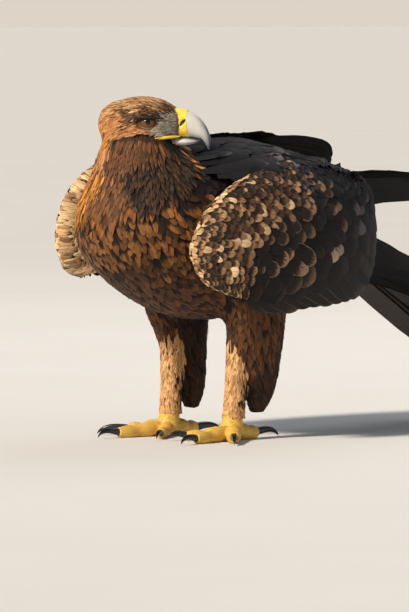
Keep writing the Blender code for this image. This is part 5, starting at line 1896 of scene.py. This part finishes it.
def add_relief(tree, shader, height, strength, distance):
    """A bump of the shader's normal by a height that changes over the surface."""
    bump = tree.nodes.new("ShaderNodeBump")
    set_values(bump, Strength=strength, Distance=distance)
    plug(tree, height, bump.inputs["Height"])
    plug(tree, bump.outputs[0], shader.inputs["Normal"])


def feather_material(name, shaft, streaks, sheen, specular):
    """Finish of one kind of feather."""
    made, tree, shader = new_material(name)
    group = tree.nodes.new("ShaderNodeGroup")
    group.node_tree = feather_group()
    for key in ("Ground", "Rim"):
        plug(tree, read_attribute(tree, key)["Color"], group.inputs[key])
    for key in ("Traits", "Measure"):
        plug(tree, read_attribute(tree, key)["Vector"], group.inputs[key])
    own_map = tree.nodes.new("ShaderNodeUVMap")
    own_map.uv_map = "Vane"
    plug(tree, own_map.outputs[0], group.inputs["Vane"])
    set_values(group, Shaft=shaft, Streaks=streaks)
    add_relief(tree, shader, group.outputs["Height"], 0.6, 0.0006)
    plug(tree, group.outputs["Color"], shader.inputs["Base Color"])
    plug(tree, group.outputs["Roughness"], shader.inputs["Roughness"])
    set_values(shader, Specular_IOR_Level=specular, Sheen_Weight=sheen, Sheen_Roughness=0.45)
    return made


def object_place(tree):
    """Object coordinates."""
    return tree.nodes.new("ShaderNodeTexCoord").outputs["Object"]


def map_values(tree, name):
    """The two values of a piece's own map."""
    own_map = tree.nodes.new("ShaderNodeUVMap")
    own_map.uv_map = name
    return split(tree, own_map.outputs[0])


def skin_material(name, marked):
    """Down and skin between the feathers, soft and mottled, in the plumage's own tones."""
    made, tree, shader = new_material(name)
    value = noise(tree, object_place(tree), 260.0, 4.0)
    dark, pale = (0.35, 0.33, 0.32, 1), (1.1, 1.05, 1.0, 1)
    shade = mix_colours(tree, value, dark, pale)
    if marked:
        base = read_attribute(tree, "Ground")["Color"]
    else:
        base = paint(30, 22, 18)
    plug(tree, mix_colours(tree, 1.0, base, shade, "MULTIPLY"), shader.inputs["Base Color"])
    set_values(shader, Roughness=0.9, Specular_IOR_Level=0.15)
    return made


def wax_material(base, deep, scale, rough):
    """Bare yellow skin, waxy and a little uneven; a pit map paints shade into the nostril's hollow."""
    made, tree, shader = new_material("Cere")
    place = object_place(tree)
    value = noise(tree, place, scale, 5.0)
    colour = mix_colours(tree, step_up(tree, value, 0.35, 0.7), (*base, 1), (*deep, 1))
    pit = map_values(tree, "Pit")[0]
    # Painted shade: the pit map turns the nostril's hollow near-black
    colour = mix_colours(tree, step_up(tree, pit, 0.22, 0.5), colour, (0.012, 0.008, 0.004, 1))
    plug(tree, colour, shader.inputs["Base Color"])
    add_relief(tree, shader, noise(tree, place, scale * 4, 3.0), 0.35, 0.0005)
    set_values(shader, Roughness=rough, Subsurface_Weight=0.15, Subsurface_Scale=0.003)
    return made


def toe_material():
    """Yellow scaled skin: pale plates with darker creases between them."""
    made, tree, shader = new_material("Scaled skin")
    place = object_place(tree)
    cells = tree.nodes.new("ShaderNodeTexVoronoi")
    cells.feature = "DISTANCE_TO_EDGE"
    cells.inputs["Scale"].default_value = 560.0
    plug(tree, place, cells.inputs["Vector"])
    crease = step_up(tree, cells.outputs[0], 0.0, 0.11)
    value = noise(tree, place, 90.0, 4.0)
    light = mix_colours(tree, value, paint(222, 172, 62), paint(238, 200, 104))
    colour = mix_colours(tree, crease, paint(176, 128, 48), light)
    plug(tree, colour, shader.inputs["Base Color"])
    add_relief(tree, shader, crease, 0.6, 0.0006)
    set_values(shader, Roughness=0.48)
    return made


def horn_material(name, root, tip, start, end, rough, ridge):
    """Smooth horn whose colour runs from root to tip, further on its ridge, with growth lines."""
    made, tree, shader = new_material(name)
    around, along, _ = map_values(tree, "Along")
    place = object_place(tree)
    blotch = noise(tree, place, 120.0, 4.0)
    shifted = plus(tree, along, times(tree, minus(tree, blotch, 0.5), 0.25))
    if ridge:
        top = calc(tree, "SINE", times(tree, around, 2 * math.pi))
        shifted = plus(tree, shifted, times(tree, step_up(tree, top, 0.25, 1.0), ridge))
    colour = mix_colours(tree, step_up(tree, shifted, start, end), (*root, 1), (*tip, 1))
    lines = noise(tree, combine(tree, times(tree, around, 3.0),
                                times(tree, along, 34.0), 0.0), 1.0, 3.0)
    shade = plus(tree, 0.86, times(tree, lines, 0.28))
    colour = mix_colours(tree, 1.0, colour, combine(tree, shade, shade, shade), "MULTIPLY")
    plug(tree, colour, shader.inputs["Base Color"])
    add_relief(tree, shader, lines, 0.12, 0.0004)
    set_values(shader, Roughness=rough, Specular_IOR_Level=0.35, Coat_Weight=0.1)
    return made


def eye_material(dark, light):
    """Amber iris with fine spokes, its upper part darkened by painted shade from the ledge, a black pupil, a
    dark outer ring and a wet coat.
    """
    made, tree, shader = new_material("Eye")
    u, v, _ = map_values(tree, "Iris")
    x = minus(tree, u, 0.5)
    y = minus(tree, v, 0.5)
    radius = calc(tree, "SQRT", plus(tree, times(tree, x, x), times(tree, y, y)))
    turn = calc(tree, "ARCTAN2", y, x)
    spokes = noise(tree, combine(tree, times(tree, turn, 9.0), times(tree, radius, 9.0), 0.0), 1.0, 4.0)
    warm = mix_colours(tree, spokes, (*dark, 1), (*light, 1))
    rim = step_up(tree, radius, 0.43, 0.475)
    # Painted shade: the iris darkens towards its top, as if shaded by the ledge
    high = step_up(tree, y, -0.05, 0.32)
    warm = mix_colours(tree, times(tree, high, 0.75), warm, (0.022, 0.010, 0.004, 1))
    colour = mix_colours(tree, rim, warm, (0.02, 0.01, 0.006, 1))
    pupil = step_up(tree, radius, 0.142, 0.156)
    colour = mix_colours(tree, pupil, (0.002, 0.002, 0.002, 1), colour)
    plug(tree, colour, shader.inputs["Base Color"])
    set_values(shader, Roughness=0.45, Specular_IOR_Level=0.05, Coat_Weight=0.7, Coat_Roughness=0.02)
    return made


def lid_material():
    """Bare lid skin, paler yellow-grey below; the upper lid is painted dark as the ledge's shade."""
    made, tree, shader = new_material("Lid")
    turn = times(tree, map_values(tree, "Along")[1], 2 * math.pi)
    top, front = calc(tree, "SINE", turn), calc(tree, "COSINE", turn)
    # Painted shade: the upper lid darkened as if under the ledge's shadow; the yellow front corner is the
    # lid's own colour
    colour = mix_colours(tree, step_up(tree, top, -0.4, 0.5), paint(98, 78, 52), paint(24, 18, 15))
    colour = mix_colours(tree, step_up(tree, front, 0.8, 1.0), colour, paint(214, 178, 70))
    plug(tree, colour, shader.inputs["Base Color"])
    set_values(shader, Roughness=0.45)
    return made


def brow_material():
    """Near-black skin and short bristles of the ledge over the eye: its own dark colour deepened by painted
    shade.
    """
    made, tree, shader = new_material("Brow")
    value = noise(tree, object_place(tree), 700.0, 3.0)
    # Partly painted shade: the ledge's dark skin is made near-black to read as the shadow line over the eye
    dark, pale = paint(14, 10, 8), paint(44, 31, 23)
    plug(tree, mix_colours(tree, value, dark, pale), shader.inputs["Base Color"])
    add_relief(tree, shader, value, 0.4, 0.0004)
    set_values(shader, Roughness=0.6)
    return made


def floor_material(dark, light):
    """Matt pale floor."""
    made, tree, shader = new_material("Pale floor")
    value = noise(tree, object_place(tree), 3.0, 3.0)
    plug(tree, mix_colours(tree, value, (*dark, 1), (*light, 1)), shader.inputs["Base Color"])
    set_values(shader, Roughness=0.85)
    return made


def dress(made, material, slot_name, *nodes):
    """Gives pieces their finish, ties them to the frame and hides the solids that they stand for."""
    for piece in made if isinstance(made, list) else [made]:
        piece.data.materials.append(material)
        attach(piece, "root")
        if nodes:
            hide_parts(*nodes)


def make_stage(look):
    """Floor, soft light and the camera at the photograph's own angle."""
    bpy.ops.mesh.primitive_plane_add(size=look.floor_size)
    ground = bpy.context.object
    ground.name = "floor"
    ground.data.materials.append(floor_material(look.floor_dark, look.floor_light))
    scene = bpy.context.scene
    scene.view_settings.view_transform = "Standard"
    world = bpy.data.worlds.new("Soft room")
    scene.world = world
    world.use_nodes = True
    tree = world.node_tree
    height = split(tree, tree.nodes.new("ShaderNodeTexCoord").outputs["Generated"])[2]
    back = tree.nodes["Background"]
    wall = mix_colours(tree, step_up(tree, height, 0.0, 0.22), (*WALL_LOW, 1), (*WALL_HIGH, 1))
    plug(tree, wall, back.inputs["Color"])
    back.inputs["Strength"].default_value = look.wall_strength
    sun = bpy.data.lights.new("sun", "SUN")
    sun.energy, sun.angle, sun.color = look.sun_power, look.sun_soft, look.sun_colour
    place_holder("sun", sun, math.degrees(look.sun_turn), math.degrees(look.sun_rise), SUN_DISTANCE)
    for name, turn, rise, distance, size, power, colour in LAMPS:
        lamp = bpy.data.lights.new(name, "AREA")
        lamp.size, lamp.energy, lamp.color = size, power, colour
        place_holder(name, lamp, turn, rise, distance)
    camera = bpy.data.cameras.new("camera")
    camera.sensor_fit = "VERTICAL"
    camera.sensor_height = SENSOR_HEIGHT
    camera.lens = SENSOR_HEIGHT * CAMERA_DISTANCE / (PICTURE_HEIGHT * PICTURE_POINT)
    aim = bird_to_world((0, 0, (FLOOR_POINT - PICTURE_HEIGHT / 2) * PICTURE_POINT))
    away = CAMERA_DISTANCE * MM
    scene.camera = place_holder("camera", camera, CAMERA_TURN, CAMERA_RISE, away, aim)


def place_holder(name, data, turn, rise, distance, aim=LAMP_AIM):
    """A lamp or camera that looks at a point from an azimuth, a height and a distance in metres."""
    holder = bpy.data.objects.new(name, data)
    bpy.context.scene.collection.objects.link(holder)
    turn, rise = math.radians(turn), math.radians(rise)
    away = np.array([math.sin(turn) * math.cos(rise), -math.cos(turn) * math.cos(rise), math.sin(rise)])
    holder.location = Vector(aim) + Vector(away * distance)
    holder.rotation_euler = Vector(away).to_track_quat("Z", "Y").to_euler()
    return holder


def shared(name, maker, *values):
    """The finish of that name, made the first time that it is asked for."""
    return bpy.data.materials.get(name) or maker(*values)


def feather_finish(name):
    """One of the three feather finishes: soft body feathers, firm coverts or long vanes."""
    return shared(name, feather_material, name, *FEATHER_FINISHES[name])


# Strength of the shaft, of the streaks, of the sheen and of the gloss
FEATHER_FINISHES = {
    "Soft feather": (0.35, 1.0, 0.04, 0.18),
    "Covert": (0.6, 0.9, 0.02, 0.2),
    "Flight feather": (1.0, 0.8, 0.0, 0.22),
}
BODY_NODES = ("torso", "neck", "head", "thigh_left", "thigh_right", "shank_left", "shank_right")


def in_mm(length):
    """Millimetres of a length that a user may change, which is kept in single precision."""
    return round(length / MM, 3)


def colour_property(name, about, value):
    """A colour that a user may change."""
    return FloatVectorProperty(name=name, description=about, default=value, subtype="COLOR", min=0, max=2)


def length_property(name, about, value, low, high):
    """A length that a user may change, in metres."""
    limits = {"default": value, "min": low, "max": high}
    return FloatProperty(name=name, description=about, subtype="DISTANCE", unit="LENGTH", **limits)


def angle_property(name, about, degrees):
    """An angle that a user may change."""
    value = math.radians(degrees)
    return FloatProperty(name=name, description=about, default=value, subtype="ANGLE", unit="ROTATION")


def power_property(name, about, value):
    """The strength of a light."""
    return FloatProperty(name=name, description=about, default=value, min=0)


def seed_property(about, value):
    """The start of one group's random draws."""
    return IntProperty(name="Seed", description=about, default=value, min=0)


class EaglePlumage(bpy.types.PropertyGroup):
    """The skin and the small feathers of body, head and legs."""

    cell: length_property("Skin cell", "Size of the cells that fuse the skin's lofts", 0.004, 0.002, 0.01)
    crowding: FloatProperty(
        name="Crowding",
        description="Least distance between two roots, as a share of the spacing that the maps give",
        default=0.8125,
        min=0.6,
        max=2.0,
        subtype="FACTOR",
    )
    seed: seed_property("Start of the random draws for the small feathers", 11)


class EagleWings(bpy.types.PropertyGroup):
    """The wings' coverts and the long vanes of wings and tail."""

    secondary_half: length_property("Secondary", "Half the width of a secondary", 0.021, 0.01, 0.04)
    primary_half: length_property("Primary", "Half the width of a primary", 0.021, 0.01, 0.04)
    tail_half: length_property("Tail feather", "Half the width of a tail feather", 0.024, 0.01, 0.04)
    seed: seed_property("Start of the random draws for wings and tail", 21)


class EagleBare(bpy.types.PropertyGroup):
    """Colours of bill, cere, eyes, toes and claws."""

    horn_root: colour_property("Bill", "Colour of the bill's horn at its root", srgb(198, 197, 190))
    horn_tip: colour_property("Bill tip", "Colour of the bill's horn at its tip", srgb(66, 68, 74))
    cere_light: colour_property("Cere", "Colour of the cere", srgb(244, 214, 78))
    cere_deep: colour_property("Cere, deeper", "Second colour of the cere", srgb(228, 184, 50))
    iris_dark: colour_property("Iris, dark", "Colour between the iris's spokes", srgb(46, 22, 8))
    iris_light: colour_property("Iris, light", "Colour of the iris's spokes", srgb(134, 80, 27))
    claw_root: colour_property("Claw", "Colour of a claw at its root", srgb(46, 44, 44))
    claw_tip: colour_property("Claw tip", "Colour of a claw at its tip", srgb(14, 14, 16))


class EagleStage(bpy.types.PropertyGroup):
    """Floor, wall and light."""

    floor_size: length_property("Floor", "Length of the floor's sides", 300, 5, 1000)
    floor_dark: colour_property("Floor, dark", "Darker colour of the floor", srgb(214, 212, 208))
    floor_light: colour_property("Floor, light", "Lighter colour of the floor", srgb(222, 220, 217))
    wall_strength: power_property("Room light", "Strength of the light from all round", 0.5)
    sun_power: power_property("Key light", "Strength of the key light", 4.5)
    sun_turn: angle_property("Key turn", "Azimuth that the key light comes from", 2)
    sun_rise: angle_property("Key rise", "Height over the floor that the key light comes from", 38)
    sun_soft: angle_property("Key softness", "Angle that the key light's disc takes up", 8)
    sun_colour: colour_property("Key colour", "Colour of the key light", (1.0, 0.9, 0.77))


class EagleSettings(bpy.types.PropertyGroup):
    """All sizes and colours of the eagle and its stage."""

    plumage: PointerProperty(type=EaglePlumage, name="Plumage", description="Skin and small feathers")
    wings: PointerProperty(type=EagleWings, name="Wings", description="Coverts and long vanes")
    bare: PointerProperty(type=EagleBare, name="Bare parts", description="Bill, eyes and feet")
    stage: PointerProperty(type=EagleStage, name="Stage", description="Floor, wall and light")


class EAGLE_OT_skin(bpy.types.Operator):
    """Make the skin of torso, neck, head and legs as one surface"""

    bl_idname = "eagle.skin"
    bl_label = "Skin"

    def execute(self, context):
        skin = make_skin(context.scene.eagle.plumage.cell)
        dress(skin, skin_material("Down", True), "body_feather", *BODY_NODES)
        return {"FINISHED"}


class EAGLE_OT_coat(bpy.types.Operator):
    """Cover the skin with small feathers"""

    bl_idname = "eagle.coat"
    bl_label = "Small feathers"

    def execute(self, context):
        plumage = context.scene.eagle.plumage
        crowding = round(plumage.crowding, 4)
        for piece in dress_body(bpy.data.objects["skin"], plumage.seed, crowding):
            slot = "nape_feather" if piece.name.startswith(("neck", "head")) else "body_feather"
            slot = "shank_feather" if piece.name.startswith("shank") else slot
            dress(piece, feather_finish("Soft feather"), slot)
        return {"FINISHED"}


class EAGLE_OT_coverts(bpy.types.Operator):
    """Make the wings' flesh, their rows of coverts and the shoulder feathers"""

    bl_idname = "eagle.coverts"
    bl_label = "Wing coverts"

    def execute(self, context):
        seed = context.scene.eagle.wings.seed
        firm = feather_finish("Covert")
        down = shared("Wing down", skin_material, "Wing down", False)
        for number, (name, _) in enumerate(SIDES):
            dress(dress_wing(name, seed + number), firm, "covert_feather", "wing_" + name)
            dress(make_wing_flesh(name), down, "covert_feather", "wing_" + name)
            dress(dress_shoulder(name, seed + 10 + number), firm, "covert_feather", "wing_" + name)
        return {"FINISHED"}


class EAGLE_OT_flight(bpy.types.Operator):
    """Make the secondaries and primaries of both wings"""

    bl_idname = "eagle.flight"
    bl_label = "Flight feathers"

    def execute(self, context):
        wings = context.scene.eagle.wings
        vane = feather_finish("Flight feather")
        for number, (name, _) in enumerate(SIDES):
            inner = make_secondaries(name, wings.seed + 20 + number, in_mm(wings.secondary_half))
            outer = make_primaries(name, wings.seed + 30 + number, in_mm(wings.primary_half))
            dress(inner, vane, "flight_feather", "secondaries_" + name)
            dress(outer, vane, "flight_feather", "primaries_" + name)
        return {"FINISHED"}


class EAGLE_OT_tail(bpy.types.Operator):
    """Make the tail feathers and their coverts"""

    bl_idname = "eagle.tail"
    bl_label = "Tail"

    def execute(self, context):
        wings = context.scene.eagle.wings
        vanes = make_tail(wings.seed + 40, in_mm(wings.tail_half))
        dress(vanes, feather_finish("Flight feather"), "flight_feather", "tail")
        dress(dress_tail(wings.seed + 41), feather_finish("Covert"), "flight_feather", "tail")
        return {"FINISHED"}


class EAGLE_OT_bill(bpy.types.Operator):
    """Make the hooked bill, the lower bill, the cere and the mouth line"""

    bl_idname = "eagle.bill"
    bl_label = "Bill"

    def execute(self, context):
        bare = context.scene.eagle.bare
        look = {"start": 0.3, "end": 1.0, "rough": 0.38, "ridge": 0.2}
        horn = horn_material("Bill horn", bare.horn_root, bare.horn_tip, **look)
        wax = wax_material(bare.cere_light, bare.cere_deep, scale=70.0, rough=0.36)
        nodes = {"bill_horn": "bill_hook", "bill_under": "bill_lower"}
        for piece in make_bill():
            if piece.name in nodes:
                dress(piece, horn, "horn", nodes[piece.name])
            else:
                dress(piece, wax, "cere", "cere")
        return {"FINISHED"}


class EAGLE_OT_eyes(bpy.types.Operator):
    """Make the eyes, their lids and the ledges over them"""

    bl_idname = "eagle.eyes"
    bl_label = "Eyes"

    def execute(self, context):
        bare = context.scene.eagle.bare
        eye = eye_material(bare.iris_dark, bare.iris_light)
        for name, side in SIDES:
            dress(make_eye("eyeball_" + name, side), eye, "eye", "eye_" + name)
            dress(make_lid("lids_" + name, side), shared("Lid", lid_material), "nape_feather")
            dress(make_brow("brow_" + name, side), shared("Brow", brow_material), "nape_feather")
        return {"FINISHED"}


class EAGLE_OT_feet(bpy.types.Operator):
    """Make the toes and the claws"""

    bl_idname = "eagle.feet"
    bl_label = "Feet"

    def execute(self, context):
        bare = context.scene.eagle.bare
        look = {"start": 0.0, "end": 0.6, "rough": 0.25, "ridge": 0}
        claw = horn_material("Claw horn", bare.claw_root, bare.claw_tip, **look)
        scales = toe_material()
        for name, side in SIDES:
            dress(make_foot("toes_" + name, side), scales, "toe_skin", "foot_" + name)
            for toe in TOES:
                key = toe[0] + "_" + name
                dress(make_claw("talon_" + key, toe, side), claw, "claw", "claw_" + key)
        return {"FINISHED"}


class EAGLE_OT_stage(bpy.types.Operator):
    """Lay the floor, set the light and place the camera"""

    bl_idname = "eagle.stage"
    bl_label = "Stage"

    def execute(self, context):
        make_stage(context.scene.eagle.stage)
        return {"FINISHED"}


PIECES = (
    ("plumage", EAGLE_OT_skin, EAGLE_OT_coat),
    ("wings", EAGLE_OT_coverts, EAGLE_OT_flight, EAGLE_OT_tail),
    ("bare", EAGLE_OT_bill, EAGLE_OT_eyes, EAGLE_OT_feet),
    ("stage", EAGLE_OT_stage),
)


class EAGLE_PT_parts(bpy.types.Panel):
    """Lists the eagle's sizes, colours and pieces"""

    bl_label = "Golden eagle"
    bl_idname = "EAGLE_PT_parts"
    bl_space_type = "VIEW_3D"
    bl_region_type = "UI"
    bl_category = "Eagle"

    def draw(self, context):
        for group, *operators in PIECES:
            box = self.layout.box()
            values = getattr(context.scene.eagle, group)
            for key in type(values).__annotations__:
                box.prop(values, key)
            for operator in operators:
                box.operator(operator.bl_idname)


GROUPS = (EaglePlumage, EagleWings, EagleBare, EagleStage, EagleSettings)
CLASSES = GROUPS + tuple(operator for row in PIECES for operator in row[1:]) + (EAGLE_PT_parts,)


def register():
    for each in CLASSES:
        bpy.utils.register_class(each)
    bpy.types.Scene.eagle = PointerProperty(type=EagleSettings)


def unregister():
    del bpy.types.Scene.eagle
    for each in reversed(CLASSES):
        bpy.utils.unregister_class(each)


def main():
    """Builds the eagle and its stage."""
    register()
    bpy.ops.eagle.skin()
    bpy.ops.eagle.coat()
    bpy.ops.eagle.coverts()
    bpy.ops.eagle.flight()
    bpy.ops.eagle.tail()
    bpy.ops.eagle.bill()
    bpy.ops.eagle.eyes()
    bpy.ops.eagle.feet()
    bpy.ops.eagle.stage()


if __name__ == "__main__":
    main()
